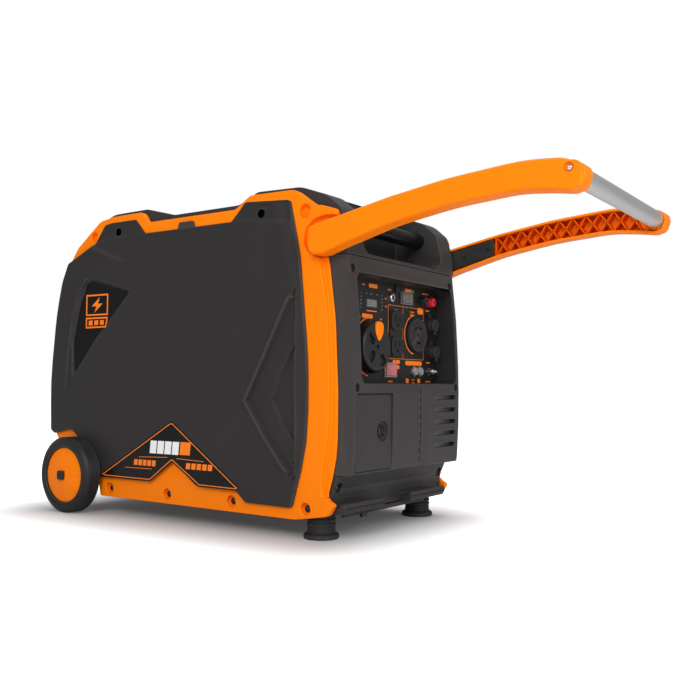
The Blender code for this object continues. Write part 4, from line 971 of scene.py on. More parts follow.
def rear_panel():
    body = plate("rear_panel_look", [rounded(REAR_OUTER + REAR_INNER, 0.05)], -BODY_HALF, BODY_HALF)
    y, z, radius = EXHAUST
    cutters = [rod("hole", (-0.61, y, z), "X", radius + 0.0015, 0.06, 64)]
    for low in VENT_Z:
        cutters.append(plate("vent", [slab(-0.125, -0.005, low, low + 0.009, 0.0044)], -0.66, -0.57, "YZ"))
    carve(body, *cutters)
    soft(body, 0.0008, 2)
    show(body, CHARCOAL)
    fins = []
    for low in VENT_Z:
        x = np.interp(low, (0.13, 0.205, 0.28, 0.366), (-0.6055, -0.608, -0.602, -0.587))
        fins.append(wedge(
            (x - 0.0012, x + 0.006), (0.0, 0.0012), (-0.1245, -0.0055), (low - 0.0005, low + 0.008)))
    show(join("rear_fins", fins), CHARCOAL)
    screws = []
    for side in (-1, 1):
        for height, x in ((0.385, -0.581), (0.23, -0.6072), (0.1, -0.5988)):
            screws.append(screw((x, side * 0.14, height), "X", -1, 0.005, 0.0022))
    cup = turned("exhaust_outlet_look",
                 [(0, 0.006), (radius - 0.004, 0.006), (radius - 0.003, 0.002), (radius - 0.003, 0.0),
                  (radius, 0.0), (radius, 0.023), (radius - 0.0006, 0.024), (radius - 0.002, 0.024),
                  (radius - 0.0045, 0.009), (0, 0.009)], (-0.611, y, z), "X")
    slots = []
    for k in range(-1, 2):
        half = 0.019 - 0.003 * abs(k)
        slots.append(block(
            "slot", (-0.64, y - half, z + 0.01 * k - 0.002), (-0.59, y + half, z + 0.01 * k + 0.002)))
    carve(cup, *slots)
    show(cup, GALVANISED)
    return screws


def base_pan():
    body = block("base_pan_look", (-0.59, -BODY_HALF, 0.042), (-0.048, BODY_HALF, 0.078))
    carve(body, block("inside", (-0.587, -0.15, 0.045), (-0.051, 0.15, 0.1)))
    weld(body, block("saddle", (WHEEL_X - 0.018, -BODY_HALF, 0.0425), (WHEEL_X + 0.018, BODY_HALF, 0.0755)))
    cutters = [rod("tunnel", (WHEEL_X, 0, WHEEL_Z), "Y", 0.0063, 0.4)]
    for x in (-0.46, -0.38, -0.3, -0.22, -0.14):
        for y in (-0.09, -0.03, 0.03, 0.09):
            cutters.append(plate("drain", [pad(x, y, 0.044, 0.008, 0.0039)], 0.03, 0.06, "XY"))
    carve(body, *cutters)
    soft(body, 0.0012, 2)
    show(body, BLACK)
    ribs = []
    for x in (-0.42, -0.34, -0.26, -0.18):
        ribs.append(block("rib", (x - 0.0015, -0.15, 0.039), (x + 0.0015, 0.15, 0.0422)))
    for y in (-0.12, 0.0, 0.12):
        ribs.append(block("rib", (-0.5, y - 0.0015, 0.039), (-0.1, y + 0.0015, 0.0421)))
    ribs = join("pan_ribs", ribs)
    show(ribs, BLACK)


# ---------------------------------------------------------------- wheels and feet
def wheels():
    for label, side in SIDES:
        centre = (WHEEL_X, side * 0.185, WHEEL_Z)
        tread = []
        for k in range(5):
            y = 0.0088 - 0.0044 * k
            tread += [(WHEEL_R - 0.0001, y + 0.0014), (WHEEL_R - 0.0009, y), (WHEEL_R - 0.0001, y - 0.0014)]
        flank = [(0.0453, 0.0138), (0.046, 0.015), (0.0472, 0.0156), (0.0484, 0.015), (0.0496, 0.0158),
                 (0.051, 0.0163), (0.0526, 0.016), (0.0538, 0.015), (0.0552, 0.0152), (0.0578, 0.0138),
                 (0.0602, 0.0118), (0.0618, 0.0104)]
        back = [(radius, -height) for radius, height in reversed(flank)]
        profile = flank + tread + back + [(0.0453, -0.0138), (0.0453, 0.0138)]
        tyre = turned("tyre_%s_look" % label, profile, centre, "Y", 120)
        show(tyre, TYRE, "wheel_" + label, angle=30)

        def facet(radius, angle):
            if radius < 0.014 or radius > 0.0426:
                return 0.0
            part = (angle * 8 / math.tau) % 1.0
            return side * 0.0009 * (radius / 0.0425) * (part - 0.5 if part < 0.97 else (1 - part) * 16 - 0.5)

        face = [(0.0063, 0.0172), (0.012, 0.0172), (0.0128, 0.0166), (0.022, 0.0156), (0.032, 0.0141),
                (0.0425, 0.0122), (0.0438, 0.0118), (0.045, 0.0108), (0.045, -0.014), (0.0425, -0.014),
                (0.0415, -0.008), (0.018, -0.008), (0.016, -0.014), (0.0063, -0.014), (0.0063, 0.0172)]
        if side < 0:
            face = [(radius, -height) for radius, height in reversed(face)]
        hub = turned("hub_%s_look" % label, face, centre, "Y", 128, facet)
        show(hub, ORANGE, "wheel_" + label, angle=28)
        low, high = sorted((side * 0.2024, side * 0.2064))
        cap = plate("axle_cap_%s_look" % label, [pad(WHEEL_X, WHEEL_Z, 0.015, 0.015, 0.003)], low, high)
        carve(cap, rod("dimple", (WHEEL_X, side * 0.2064, WHEEL_Z), "Y", 0.003, 0.0016))
        soft(cap, 0.0009, 3)
        show(cap, BLACK)


FOOT_X, FOOT_Y, FOOT_R = -0.0545, 0.133, 0.025


def feet():
    for label, side in SIDES:
        column = []
        for k in range(5):
            z = 0.0385 - 0.0062 * k
            column += [(0.0204, z + 0.003), (0.0204, z + 0.0008), (0.0194, z + 0.0002), (0.0194, z - 0.0022)]
        profile = [(0.0, 0.0417)] + column + [
            (0.02, GROUND + 0.009), (0.0238, GROUND + 0.0068), (FOOT_R - 0.0004, GROUND + 0.0058),
            (FOOT_R, GROUND + 0.005), (FOOT_R, GROUND + 0.0014), (FOOT_R - 0.001, GROUND), (0.0, GROUND)]
        foot = turned("foot_%s_look" % label, profile, (FOOT_X, side * FOOT_Y, 0), "Z", 72)
        show(foot, RUBBER, angle=35)


# ---------------------------------------------------------------- tow handle
TIP_X = 0.344
ARM_IN, ARM_OUT, ARM_WALL = 0.157, 0.183, 0.0032
GRIP_R = 0.0121
ARM_TOP = [
    (-0.033, 0.429, 0.016), (0.085, 0.4525, 0.4), (0.17, 0.4655, 0.5), (0.27, 0.474, 0.4),
    (0.317, 0.47, 0.05), (TIP_X - 0.002, 0.459, 0.008), (TIP_X, 0.449, 0.008),
    (0.339, 0.4345, 0.01), (0.326, 0.4305, 0.012),
]
ARM_BOTTOM = [
    (0.2985, 0.4345, 0.08), (0.26, 0.4385, 0.3), (0.17, 0.4315, 0.5), (0.085, 0.4172, 0.4),
    (0.0045, 0.3955, 0.2), (-0.022, 0.3868, 0.01), (-0.0465, 0.3868, 0.014),
]
ARM_END = (-0.047, 0.426, 0.016)
PLATE_OUTLINE = [
    (-0.0405, 0.399, 0.01), (-0.0405, 0.418, 0.01), (-0.03, 0.4245, 0.01),
    (0.072, 0.445, 0.004), (0.072, 0.419, 0.004), (0.005, 0.4015, 0.1), (-0.022, 0.3925, 0.006),
    (-0.034, 0.3925, 0.006),
]
PLATE_SCREWS = ((0.0212, 0.4225), (0.064, 0.433))


def crossing(outline, x):
    """Lowest and highest z where the outline crosses a given x."""
    hits = []
    for (ax, az), (bx, bz) in zip(outline, outline[1:] + outline[:1]):
        if (ax - x) * (bx - x) < 0:
            hits.append(az + (bz - az) * (x - ax) / (bx - ax))
    return min(hits), max(hits)


def tow_handle():
    outline = ccw(rounded(ARM_TOP + ARM_BOTTOM + [ARM_END], 0.06))
    for label, side in SIDES:
        lip = 0.0052
        arm = plate("handle_arm_%s_look" % label, [outline],
                    *span(side, ARM_IN - 0.012, ARM_OUT), lip=lip, steps=4)
        edge = sorted((side * 0.1, side * ARM_IN))
        carve(arm, block("flat", (-0.1, edge[0], 0.3), (0.4, edge[1], 0.55)))
        channel = plate("channel", [inset(outline, ARM_WALL)], *span(side, 0.15, ARM_OUT - ARM_WALL - 0.0012))
        carve(arm, channel, rod("notch", (PIVOT[0], side * 0.163, PIVOT[1]), "Y", 0.0105, 0.018))
        weld(arm, rod("boss", (GRIP[0], side * 0.1707, GRIP[1]), "Y", GRIP_R + 0.0022, 0.023, 64))
        carve(arm, rod("socket", (GRIP[0], side * 0.158, GRIP[1]), "Y", GRIP_R + 0.0002, 0.032, 64),
              rod("screw_seat", (GRIP[0] - 0.0032, side * ARM_OUT, GRIP[1] + 0.0062), "Y", 0.0062, 0.006))
        show(arm, ORANGE, "tow_handle", angle=35)
        ribs = []
        inner = inset(outline, ARM_WALL - 0.0006)
        cells, first, last = 11, 0.0765, 0.308
        deep = span(side, ARM_IN + 0.0035, ARM_OUT - ARM_WALL - 0.0006)
        for k in range(cells):
            x0 = first + (last - first) * k / cells
            x1 = first + (last - first) * (k + 1) / cells
            (low0, high0), (low1, high1) = crossing(inner, x0), crossing(inner, x1)
            ribs.append(plate("rib", [stretch([(x0, low0), (x1, high1)], 0.0016)], *deep))
            ribs.append(plate("rib", [stretch([(x0, high0), (x1, low1)], 0.0016)], *deep))
        low, high = crossing(inner, first)
        ribs.append(plate("rib", [stretch([(first - 0.001, low), (first - 0.001, high)], 0.0018)], *deep))
        # The lattice ribs take the darker orange: painted shade of the arm's channel.
        show(join("arm_lattice_" + label, ribs), SHADED_ORANGE, "tow_handle")
        strap = plate(
            "hinge_bracket_%s_look" % label, [rounded(PLATE_OUTLINE), circle(*PIVOT, 0.0038)],
            *span(side, ARM_IN + 0.0005, ARM_IN + 0.0035))
        soft(strap, 0.0006, 2)
        show(strap, BLACK_STEEL, "tow_handle")
        heads = []
        for x, z in PLATE_SCREWS:
            seat = turned("seat", [
                (0.0, 0.0042), (0.0022, 0.0042), (0.0022, 0.0018), (0.004, 0.0018), (0.0046, 0.0008),
                (0.0046, -0.001), (0.0, -0.001)], (0, 0, 0), "Z", 24)
            if side > 0:
                seat.data.transform(Matrix.Rotation(math.pi, 4, "X"))
            seat.data.transform(Matrix.Translation((x, side * (ARM_IN + 0.0003), z)) @ TURN["Y"])
            heads.append(seat)
        show(join("bracket_screws_" + label, heads), BLACK_STEEL, "tow_handle")
        bright = screw(
            (GRIP[0] - 0.0032, side * (ARM_OUT - 0.003), GRIP[1] + 0.0062), "Y", side, 0.0042, 0.0022)
        show(bright, STEEL, "tow_handle")
    tube = turned("grip_tube_look", [
        (GRIP_R - 0.0015, -0.1735), (GRIP_R, -0.1735), (GRIP_R, 0.1735), (GRIP_R - 0.0015, 0.1735),
        (GRIP_R - 0.0015, -0.1735)], (GRIP[0], 0, GRIP[1]), "Y", 72)
    dents = []
    for side in (-1, 1):
        dent = rod("dent", (0, 0, 0), "Z", 0.0034, 0.004, 24)
        dent.data.transform(
            Matrix.Translation((GRIP[0] - GRIP_R * 0.72, side * 0.125, GRIP[1] - GRIP_R * 0.72))
            @ Matrix.Rotation(math.radians(45), 4, "Y") @ Matrix.Diagonal((1, 2.2, 1, 1)))
        dents.append(dent)
    carve(tube, *dents)
    show(tube, TUBE, "tow_handle", angle=35)


# ---------------------------------------------------------------- control panel
DIAL = (-0.0553, 0.2652, 0.0383)
ROCKERS = {"eco_switch": (0.048, 0.3451, 0.03, 0.015), "start_switch": (0.001, 0.2324, 0.028, 0.0175)}
BREAKER_Y, BREAKER_Z, BREAKER_R = (0.0706, 0.0876), 0.2312, 0.0065
BUTTON = (0.0187, 0.3579, 0.01)
OUTLET_Y, OUTLET_Z = 0.017, (0.3086, 0.2695)
OUTLET_FACE = [
    (-0.0165, -0.0105), (-0.01, -0.015), (0.01, -0.015), (0.0165, -0.0105),
    (0.0165, 0.0105), (0.01, 0.015), (-0.01, 0.015), (-0.0165, 0.0105),
]
ROUND_OUTLET = (0.0783, 0.289, 0.0272)
CAPPED = ((0.119, 0.3065), (0.123, 0.263))
EARTH = (0.119, 0.2312)
GAUGE = 0.85                # metres per unit of the print's places, which are measured from z = -0.0034
STROKE_WIDTH, STROKE_HEIGHT, STROKE_PITCH = 0.0016, 0.0022, 0.0026


def on_panel(name, loops, low, high, lip=0.0):
    """Outline with holes, between two heights over the panel's face."""
    return plate(name, loops, FACE_X + low, FACE_X + high, "YZ", lip)


def knob(name, profile, y, z, segments=48):
    """Turned piece that stands out from the panel's face."""
    return turned(name, profile, (FACE_X, y, z), "X", segments)


def spoke(y, z, angle, points, radius):
    """Rounded outline of (outwards, across) points along a direction from a centre."""
    way = Vector((math.cos(math.radians(angle)), math.sin(math.radians(angle))))
    across = Vector((-way.y, way.x))
    return rounded([(*(Vector((y, z)) + way * a + across * b), radius) for a, b in points])


def flat_print(name, loops, finish, thick=0.00025, start=0.0):
    """Printing or a lens on the panel's face."""
    made = [on_panel(name, [loop], start - 0.0001, start + thick) for loop in loops]
    show(join(name, made), finish)


def arc(y, z, radius, width, start, end, count=40):
    angles = [math.radians(start + (end - start) * k / count) for k in range(count + 1)]
    edges = []
    for r in (radius + width / 2, radius - width / 2):
        edges.append([(y + r * math.cos(a), z + r * math.sin(a)) for a in angles])
    return ccw(edges[0] + edges[1][::-1])


def to_panel(y, z):
    """Panel place in metres from a place of the print."""
    return GAUGE * y, GAUGE * (z - 0.004)


def tag(y0, y1, z, height):
    y, z = to_panel((y0 + y1) / 2, z)
    return pad(y, z, GAUGE * (y1 - y0), height, height * 0.3)


def word(y, z, count):
    """A run of small strokes in place of a printed word, centred at y."""
    y, z = to_panel(y, z)
    return [
        pad(y + (k - (count - 1) / 2) * STROKE_PITCH, z, STROKE_WIDTH, STROKE_HEIGHT) for k in range(count)]


def panel_plate():
    outline = slab(WINDOW_Y[0] - 0.012, WINDOW_Y[1] + 0.004, WINDOW_Z[0] - 0.01, WINDOW_Z[1] + 0.012, 0.006)
    holes = [pad(y, z, width + 0.0012, height + 0.0012, 0.001) for y, z, width, height in ROCKERS.values()]
    holes += [circle(y, BREAKER_Z, BREAKER_R + 0.0005) for y in BREAKER_Y]
    holes.append(circle(DIAL[0], DIAL[1], 0.0055))
    y, z, size = BUTTON
    holes.append(pad(y, z, size + 0.0008, size + 0.0008, 0.001))
    show(on_panel("control_panel_look", [outline] + holes, -0.0025, 0), PANEL)


TAGS = (
    (-0.069, -0.042, 0.4225, 0.006), (-0.09, -0.057, 0.369, 0.0062), (0.052, 0.076, 0.4245, 0.006),
    (0.054, 0.114, 0.291, 0.0068), (0.098, 0.118, 0.39, 0.01), (-0.076, -0.044, 0.3785, 0.0016),
    (0.01, 0.019, 0.2925, 0.0058), (0.021, 0.034, 0.2925, 0.0058), (0.025, 0.033, 0.283, 0.006),
    (0.056, 0.066, 0.2585, 0.0072), (0.098, 0.108, 0.2585, 0.0072),
)
WORDS = (
    (-0.086, 0.4225, 3), (-0.112, 0.41, 2), (-0.112, 0.393, 2), (-0.112, 0.377, 1), (-0.014, 0.404, 2),
    (-0.014, 0.39, 2), (-0.002, 0.421, 4), (0.043, 0.407, 1), (0.128, 0.424, 8), (0.02, 0.386, 5),
    (0.02, 0.381, 6), (0.078, 0.386, 5), (0.078, 0.381, 5), (0.135, 0.3925, 5), (0.002, 0.257, 5),
    (0.002, 0.2515, 4), (0.082, 0.26, 3), (0.082, 0.2545, 3), (0.138, 0.257, 6), (0.138, 0.293, 5),
    (-0.098, 0.366, 2), (-0.03, 0.366, 2), (-0.1, 0.3735, 2),
)
LINES_Y, LINES_Z, LINE_WIDTH = (-0.0051, 0.03825, 0.102), (0.2499, 0.3315), 0.0006


def panel_print():
    solid = [tag(*numbers) for numbers in TAGS]
    y, z = DIAL[:2]
    solid += [arc(y, z, 0.0425, 0.0013, 100, 156), arc(y, z, 0.0425, 0.0013, 200, 262)]
    solid.append(arc(0.074, ROUND_OUTLET[1], 0.0305, 0.0017, 96, 262))
    for z in LINES_Z:
        solid.append(stretch([(LINES_Y[0], z), (LINES_Y[2], z)], LINE_WIDTH))
    for y in (LINES_Y[0], LINES_Y[2], LINES_Y[1]):
        solid.append(stretch([(y, LINES_Z[0]), (y, LINES_Z[1])], LINE_WIDTH))
    for numbers in WORDS:
        solid += word(*numbers)
    flat_print("panel_orange", solid, INK)
    leds = [circle(*to_panel(y, 0.383 + 0.0062 * k), 0.0011, 12) for y in (-0.094, -0.028) for k in range(5)]
    leds += [circle(*to_panel(y, 0.408), 0.0011, 12) for y in (-0.077, -0.062, -0.044)]
    flat_print("panel_leds", leds, PALE_LED, 0.0006)
    flat_print("panel_green_led", [circle(*to_panel(0.081, 0.425), 0.0014, 16)], GREEN, 0.0008)
    y, z = to_panel(-0.06, 0.392)
    flat_print("display_window", [pad(y, z, 0.0272, 0.0112, 0.0008)], SMOKE, 0.0006)
    digits = []
    for middle in (y - 0.008, y - 0.0005, y + 0.007):
        digits += [pad(middle, z + level, 0.005, 0.001) for level in (-0.0036, 0, 0.0036)]
        for side in (-0.0025, 0.0025):
            digits += [pad(middle + side, z + level, 0.001, 0.0028) for level in (-0.002, 0.002)]
    flat_print("display_digits", digits, GREY, 0.00015, 0.0006)


def engine_dial():
    y, z, r = DIAL
    dial = knob("engine_dial_look", [
        (0, 0.0146), (0.0052, 0.0146), (0.006, 0.0158), (0.008, 0.016), (r - 0.006, 0.015),
        (r - 0.003, 0.014), (r - 0.0012, 0.012), (r - 0.0004, 0.008), (r, 0.003), (r, 0.001),
        (r - 0.001, 0.0008), (0.0045, 0.0008), (0.0045, -0.012), (0, -0.012)], y, z, 120)
    dent = ((0.0125, -0.0035), (0.03, -0.0095), (0.03, 0.0095), (0.0125, 0.0035))
    cutters = [
        on_panel("dent", [spoke(y, z, angle, dent, 0.0035)], 0.0122, 0.03) for angle in (152, 218, 300)]
    cutters.append(rod("centre", (FACE_X + 0.016, y, z), "X", 0.0034, 0.01, 24))
    for k in range(36):
        turn = math.tau * (k + 0.5) / 36
        place = (FACE_X + 0.007, y + (r + 0.0006) * math.cos(turn), z + (r + 0.0006) * math.sin(turn))
        cutters.append(rod("flute", place, "X", 0.0013, 0.02, 10))
    carve(dial, *cutters)
    soft(dial, 0.0005, 2, 30)
    show(dial, BLACK, "engine_dial")
    half = [(0.009, 0.002), (0.014, 0.0062), (0.021, 0.01), (0.03, 0.0108), (0.0345, 0.009), (0.037, 0.0045)]
    drop = half + [(a, -b) for a, b in reversed(half)]
    pointer = on_panel("dial_pointer", [spoke(y, z, 86, drop, 0.002)], 0.0125, 0.0164)
    soft(pointer, 0.0008, 3)
    show(pointer, ORANGE, "engine_dial")


def switches():
    for name, (y, z, width, height) in ROCKERS.items():
        dark = name == "eco_switch"
        bezel = on_panel(name + "_bezel", [
            pad(y, z, width + 0.006, height + 0.0048, 0.0016),
            pad(y, z, width + 0.0022, height + 0.0008, 0.0008)], 0.0001, 0.0022)
        soft(bezel, 0.0005, 2)
        show(bezel, SMOKE if dark else GREY)
        rocker = block(name + "_look", (FACE_X - 0.005, y - width / 2, z - height / 2),
                       (FACE_X + 0.004, y + width / 2, z + height / 2))
        carve(rocker, rod("crease", (FACE_X + 0.026, y, z), "Z", 0.024, 0.05, 160))
        soft(rocker, 0.0006, 2, 50)
        show(rocker, SMOKE if dark else PINK, name, angle=30)
    r = BREAKER_R
    for k, y in enumerate(BREAKER_Y, 1):
        button = knob("breaker_button_%d_look" % k, [
            (0, 0.0056), (0.003, 0.0056), (0.0034, 0.006), (r - 0.0008, 0.006), (r, 0.0052), (r, -0.006),
            (0, -0.006)], y, BREAKER_Z)
        show(button, GREY, "breaker_%d" % k)
        collar = knob("breaker_collar_%d" % k, [
            (r + 0.0004, 0.0001), (r + 0.0018, 0.0001), (r + 0.0016, 0.0024), (r + 0.0004, 0.0026),
            (r + 0.0004, 0.0001)], y, BREAKER_Z, 6)
        show(collar, STEEL)
    y, z, size = BUTTON
    button = block("mute_button_look", (FACE_X - 0.005, y - size / 2, z - size / 2),
                   (FACE_X + 0.0035, y + size / 2, z + size / 2))
    soft(button, 0.001, 3)
    show(button, BLACK, "mute_button")


def outlets():
    outline = slab(OUTLET_Y - 0.017, OUTLET_Y + 0.017, OUTLET_Z[1] - 0.0165, OUTLET_Z[0] + 0.0165, 0.004)
    body = on_panel("duplex_outlet_look", [outline], 0.0003, 0.0016, 0.0003)
    faces, cutters = [], []
    for z in OUTLET_Z:
        face = rounded([(OUTLET_Y + a, z + b, 0.006) for a, b in OUTLET_FACE])
        faces.append(on_panel("face", [face], 0.001, 0.004, 0.0005))
        slots = (slab(OUTLET_Y - 0.0072, OUTLET_Y - 0.005, z - 0.001, z + 0.0075),
                 slab(OUTLET_Y + 0.005, OUTLET_Y + 0.0072, z - 0.001, z + 0.0065))
        cutters += [on_panel("blade", [slot], 0.0006, -FACE_X) for slot in slots]
        cutters.append(rod("earth", (FACE_X + 0.006, OUTLET_Y, z - 0.0075), "X", 0.0026, 0.0104, 24))
    weld(body, *faces)
    carve(body, *cutters)
    show(body, BLACK)
    y, z, r = ROUND_OUTLET
    body = knob("round_outlet_look", [
        (0, 0.0052), (r - 0.006, 0.0052), (r - 0.0054, 0.006), (r - 0.001, 0.006), (r, 0.0052),
        (r, 0.0003), (0, 0.0003)], y, z, 96)
    slot = ((0.0107, -0.0055), (0.0143, -0.0055), (0.0143, 0.0055), (0.0107, 0.0055))
    cutters = [
        on_panel("blade", [spoke(y, z, angle, slot, 0.0006)], 0.0012, -FACE_X) for angle in (55, 125, 270)]
    carve(body, *cutters, rod("screw_hole", (FACE_X + 0.006, y, z), "X", 0.002, 0.006, 20))
    soft(body, 0.0004, 2)
    show(body, CHARCOAL)


def taper(y, low, high, low_half, high_half):
    """Outline that narrows from one height to another."""
    return rounded([(y - low_half, low, 0.001), (y + low_half, low, 0.001), (y + high_half, high, 0.002),
                    (y - high_half, high, 0.002)])


def sockets():
    for k, (y, z) in enumerate(CAPPED, 1):
        cap = knob("socket_cap_%d_look" % k, [
            (0, 0.0132), (0.004, 0.0132), (0.0048, 0.0146), (0.0062, 0.015), (0.0095, 0.0146),
            (0.0104, 0.0132), (0.0108, 0.008), (0.0114, 0.0074), (0.0115, 0.003), (0.011, 0.0004),
            (0, 0.0004)], y, z, 56)
        weld(cap, on_panel("strap", [taper(y, z, z + 0.0185, 0.005, 0.0044)], 0.0006, 0.0036),
             on_panel("pull", [taper(y, z - 0.01, z - 0.015, 0.004, 0.0034)], 0.011, 0.0135))
        soft(cap, 0.0004, 2)
        show(cap, RUBBER, "socket_cap_%d" % k)
        base = [(0, 0.0001), (0.013, 0.0001), (0.0128, 0.0003), (0, 0.0003)]
        show(knob("socket_base_%d" % k, base, y, z), BLACK)


def terminals():
    jacks = (("dc_jack_black", 0.0952, 0.3451, 0.0068, BLACK), ("dc_jack_red", 0.1199, 0.3443, 0.008, RED))
    for node, y, z, r, finish in jacks:
        jack = knob(node + "_look", [
            (0.0024, 0.004), (0.0024, 0.01), (r * 0.72, 0.0103), (r * 0.86, 0.0096), (r * 0.9, 0.007),
            (r, 0.0062), (r, 0.0003), (0, 0.0003), (0, 0.004)], y, z)
        show(jack, finish)
    y, z = to_panel(0.003, 0.407)
    shell = [(0.0034, 0.001), (0.0034, 0.0042), (0.005, 0.0046), (0.0062, 0.0038), (0.0068, 0.0002),
             (0, 0.0002), (0, 0.001)]
    show(knob("chrome_jack", shell, y, z), STEEL)
    core = [(0, 0.0034), (0.0022, 0.0034), (0.0028, 0.0026), (0.003, 0.0009), (0, 0.0009)]
    show(knob("chrome_jack_core", core, y, z, 32), BLACK)
    y, z = EARTH
    nut = knob("ground_wing_nut_look", [
        (0.0028, 0.0036), (0.0052, 0.0036), (0.005, 0.009), (0.004, 0.0103), (0.0028, 0.0105),
        (0.0028, 0.0036)], y, z, 40)
    wings = []
    for side in (-1, 1):
        root, tip = y + side * 0.0036, y + side * 0.0118
        wing = rounded([
            (root, z - 0.0013), (tip, z - 0.0013, 0.001), (tip, z + 0.0013, 0.001), (root, z + 0.0013)])
        wings.append(on_panel("wing", [wing], 0.005, 0.01))
    weld(nut, *wings)
    soft(nut, 0.0003, 2)
    show(nut, STEEL, "ground_nut")
    thread = []
    for k in range(12):
        thread += [(0.0024, 0.0012 * k + 0.001), (0.002, 0.0012 * k + 0.0016)]
    stud = [(0, 0.0003), (0.007, 0.0003), (0.007, 0.001)] + thread + [(0.0018, 0.0158), (0, 0.0163)]
    show(knob("ground_stud_look", stud, y, z, 32), STEEL)


# ---------------------------------------------------------------- fuel cap, starter grip
def fuel_cap():
    cap = turned("fuel_cap_look", [
        (0.0, 0.0112), (0.03, 0.0112), (0.033, 0.01), (0.0354, 0.008), (0.036, 0.006), (0.036, 0.0003),
        (NECK_R - 0.004, 0.0003), (NECK_R - 0.004, -0.015), (0.0, -0.015)], (CAP_X, 0, 0.4773), "Z", 96)
    weld(cap, plate("bar", [slab(CAP_X - 0.027, CAP_X + 0.027, -0.005, 0.005, 0.0045)], 0.487, 0.4925, "XY"))
    flutes = []
    for k in range(28):
        turn = math.tau * k / 28
        place = (CAP_X + 0.0368 * math.cos(turn), 0.0368 * math.sin(turn), 0.481)
        flutes.append(rod("flute", place, "Z", 0.002, 0.02, 12))
    carve(cap, *flutes)
    soft(cap, 0.0006, 2, 30)
    show(cap, BLACK, "fuel_cap")


def recoil_grip():
    grip = turned("recoil_grip_look", [
        (0.0, 0.011), (0.0045, 0.0107), (0.0066, 0.009), (0.0082, 0.005), (0.0085, 0.0), (0.0082, -0.005),
        (0.0066, -0.009), (0.0045, -0.0107), (0.0, -0.011)], (0, 0, 0), "Z", 48)
    grip.data.transform(Matrix.Translation((RECOIL_X, COVER_OUT + 0.0115, RECOIL_Z)) @ TURN["Y"])
    show(grip, BLACK, "recoil_grip")


# ---------------------------------------------------------------- carried-over CAD nodes
KEPT = {
    "axle": STEEL, "pivot_bolt_left": STEEL, "pivot_bolt_right": STEEL, "crankshaft": STEEL, "rotor": CAST,
    "stator": COPPER, "spark_plug": WHITE, "silencer": GALVANISED, "engine_block": CAST,
    "cylinder_head": CAST, "carburettor": CAST, "inverter_module": CAST, "recoil_housing": CHARCOAL,
    "recoil_pulley": BLACK, "fuel_tank": BLACK, "air_box": BLACK, "battery": BLACK,
}


def dress_kept_nodes():
    for name, finish in KEPT.items():
        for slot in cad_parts[name].material_slots:
            slot.material = finish


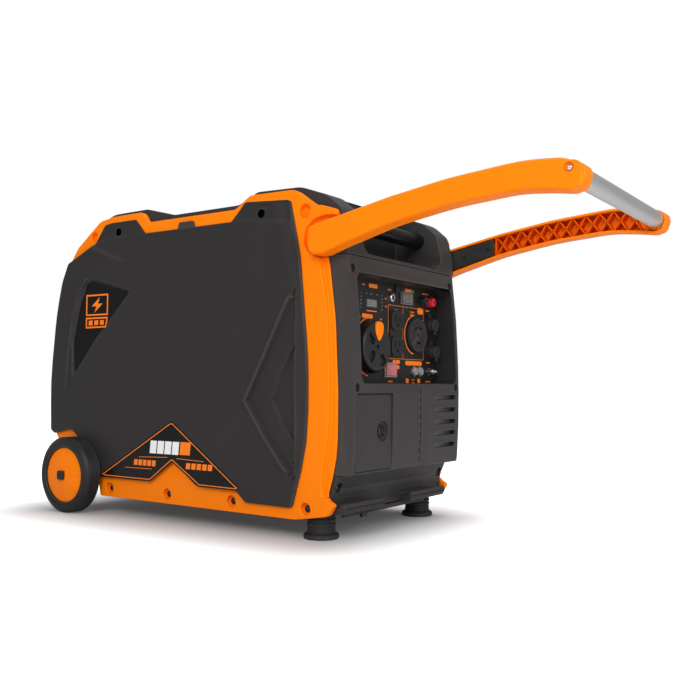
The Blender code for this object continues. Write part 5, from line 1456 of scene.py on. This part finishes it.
# ---------------------------------------------------------------- floor, light and camera
def stage():
    floor = bpy.data.meshes.new("floor")
    edge = 14.0
    floor.from_pydata(
        [(-edge, -edge, 0), (edge, -edge, 0), (edge, edge, 0), (-edge, edge, 0)], [], [(0, 1, 2, 3)])
    floor = raw("floor", floor)
    white, nodes, links = shader("floor_white")
    nodes["Principled BSDF"].inputs["Base Color"].default_value = (0.92, 0.92, 0.92, 1)
    nodes["Principled BSDF"].inputs["Roughness"].default_value = 0.8
    nodes["Principled BSDF"].inputs["Specular IOR Level"].default_value = 0.1
    nodes["Principled BSDF"].inputs["Emission Color"].default_value = (1, 1, 1, 1)
    # Painted shadow: distance from the body's footprint darkens the floor's colour and dims its camera-only
    # glow near the body.
    place = nodes.new("ShaderNodeNewGeometry").outputs["Position"]
    steps = (("SUBTRACT", (-0.17, -0.02, 0)), ("ABSOLUTE", None), ("SUBTRACT", (0.27, 0.15, 0)),
             ("MAXIMUM", (0, 0, 0)), ("LENGTH", None))
    for step, amount in steps:
        away = nodes.new("ShaderNodeVectorMath")
        away.operation = step
        if amount:
            away.inputs[1].default_value = amount
        links.new(place, away.inputs[0])
        place = away.outputs["Value" if step == "LENGTH" else "Vector"]
    seen = nodes.new("ShaderNodeLightPath").outputs["Is Camera Ray"]
    # (from, to, near the body, far off, socket): a painted contact shadow in the glow and in the base colour.
    painted_shadow_ramps = ((-0.03, 0.27, 0.02, 0.9, "Emission Strength"), (-0.02, 0.2, 0.52, 0.92, ""))
    for start, end, near, far, socket in painted_shadow_ramps:
        shadow_ramp = nodes.new("ShaderNodeMapRange")
        shadow_ramp.interpolation_type = "SMOOTHSTEP"
        for label, value in (("From Min", start), ("From Max", end), ("To Min", near), ("To Max", far)):
            shadow_ramp.inputs[label].default_value = value
        links.new(place, shadow_ramp.inputs["Value"])
        if socket:
            only = nodes.new("ShaderNodeMath")
            only.operation = "MULTIPLY"
            links.new(shadow_ramp.outputs["Result"], only.inputs[0])
            links.new(seen, only.inputs[1])
            links.new(only.outputs[0], nodes["Principled BSDF"].inputs[socket])
        else:
            links.new(shadow_ramp.outputs["Result"], nodes["Principled BSDF"].inputs["Base Color"])
    floor.data.materials.append(white)
    world = bpy.data.worlds.new("studio")
    world.use_nodes = True
    nodes, links = world.node_tree.nodes, world.node_tree.links
    nodes["Background"].inputs["Color"].default_value = (1, 1, 1, 1)
    path = nodes.new("ShaderNodeLightPath")
    level = nodes.new("ShaderNodeMapRange")
    level.inputs["To Min"].default_value = 0.36     # what lights the object
    level.inputs["To Max"].default_value = 1.0      # what the camera sees
    links.new(path.outputs["Is Camera Ray"], level.inputs["Value"])
    links.new(level.outputs["Result"], nodes["Background"].inputs["Strength"])
    bpy.context.scene.world = world
    lamps = (
        ((0.9, -2.2, 1.4), 1.0, 1.0, 29), ((2.0, -0.7, 1.1), 1.2, 1.4, 22),
        ((-0.3, 0.4, 2.6), 2.0, 1.6, 26))
    for k, (place, width, height, power) in enumerate(lamps):
        lamp = bpy.data.lights.new("softbox_%d" % k, "AREA")
        lamp.shape = "RECTANGLE"
        lamp.size, lamp.size_y, lamp.energy = width, height, power
        holder = bpy.data.objects.new("softbox_%d" % k, lamp)
        holder.location = place
        holder.rotation_euler = (Vector((0, 0, 0.25)) - Vector(place)).to_track_quat("-Z", "Y").to_euler()
        bpy.context.scene.collection.objects.link(holder)
    bpy.context.scene.view_settings.view_transform = "Standard"


CAMERA = (0.6734, -1.1242, 0.2117)      # place, from the control end like everything else
AZIMUTH, PITCH, ROLL = math.radians(34.65), math.radians(2.36), math.radians(0.3)


def camera():
    ahead = Vector((-math.sin(AZIMUTH), math.cos(AZIMUTH), 0))
    right = Vector((math.cos(AZIMUTH), math.sin(AZIMUTH), 0))
    up = Vector((0, 0, 1))
    view = math.cos(PITCH) * ahead + math.sin(PITCH) * up
    above = -math.sin(PITCH) * ahead + math.cos(PITCH) * up
    across = math.cos(ROLL) * right + math.sin(ROLL) * above
    above = -math.sin(ROLL) * right + math.cos(ROLL) * above
    data = bpy.data.cameras.new("camera")
    data.lens = 45.13
    data.sensor_width = 36
    holder = bpy.data.objects.new("camera", data)
    turn = Matrix((across, above, -view)).transposed().to_4x4()
    holder.matrix_world = Matrix.Translation((CAMERA[0] + SHIFT, CAMERA[1], CAMERA[2] + LIFT)) @ turn
    bpy.context.scene.collection.objects.link(holder)
    bpy.context.scene.camera = holder


camera()
stage()
side_covers()
screws = side_frames() + front_fascia() + front_skirt() + rear_panel()
show(join("case_screws", screws), BLACK_STEEL)
top_shell()
carry_handle()
service_door()
base_pan()
wheels()
feet()
tow_handle()
panel_plate()
panel_print()
engine_dial()
switches()
outlets()
sockets()
terminals()
fuel_cap()
recoil_grip()
dress_kept_nodes()
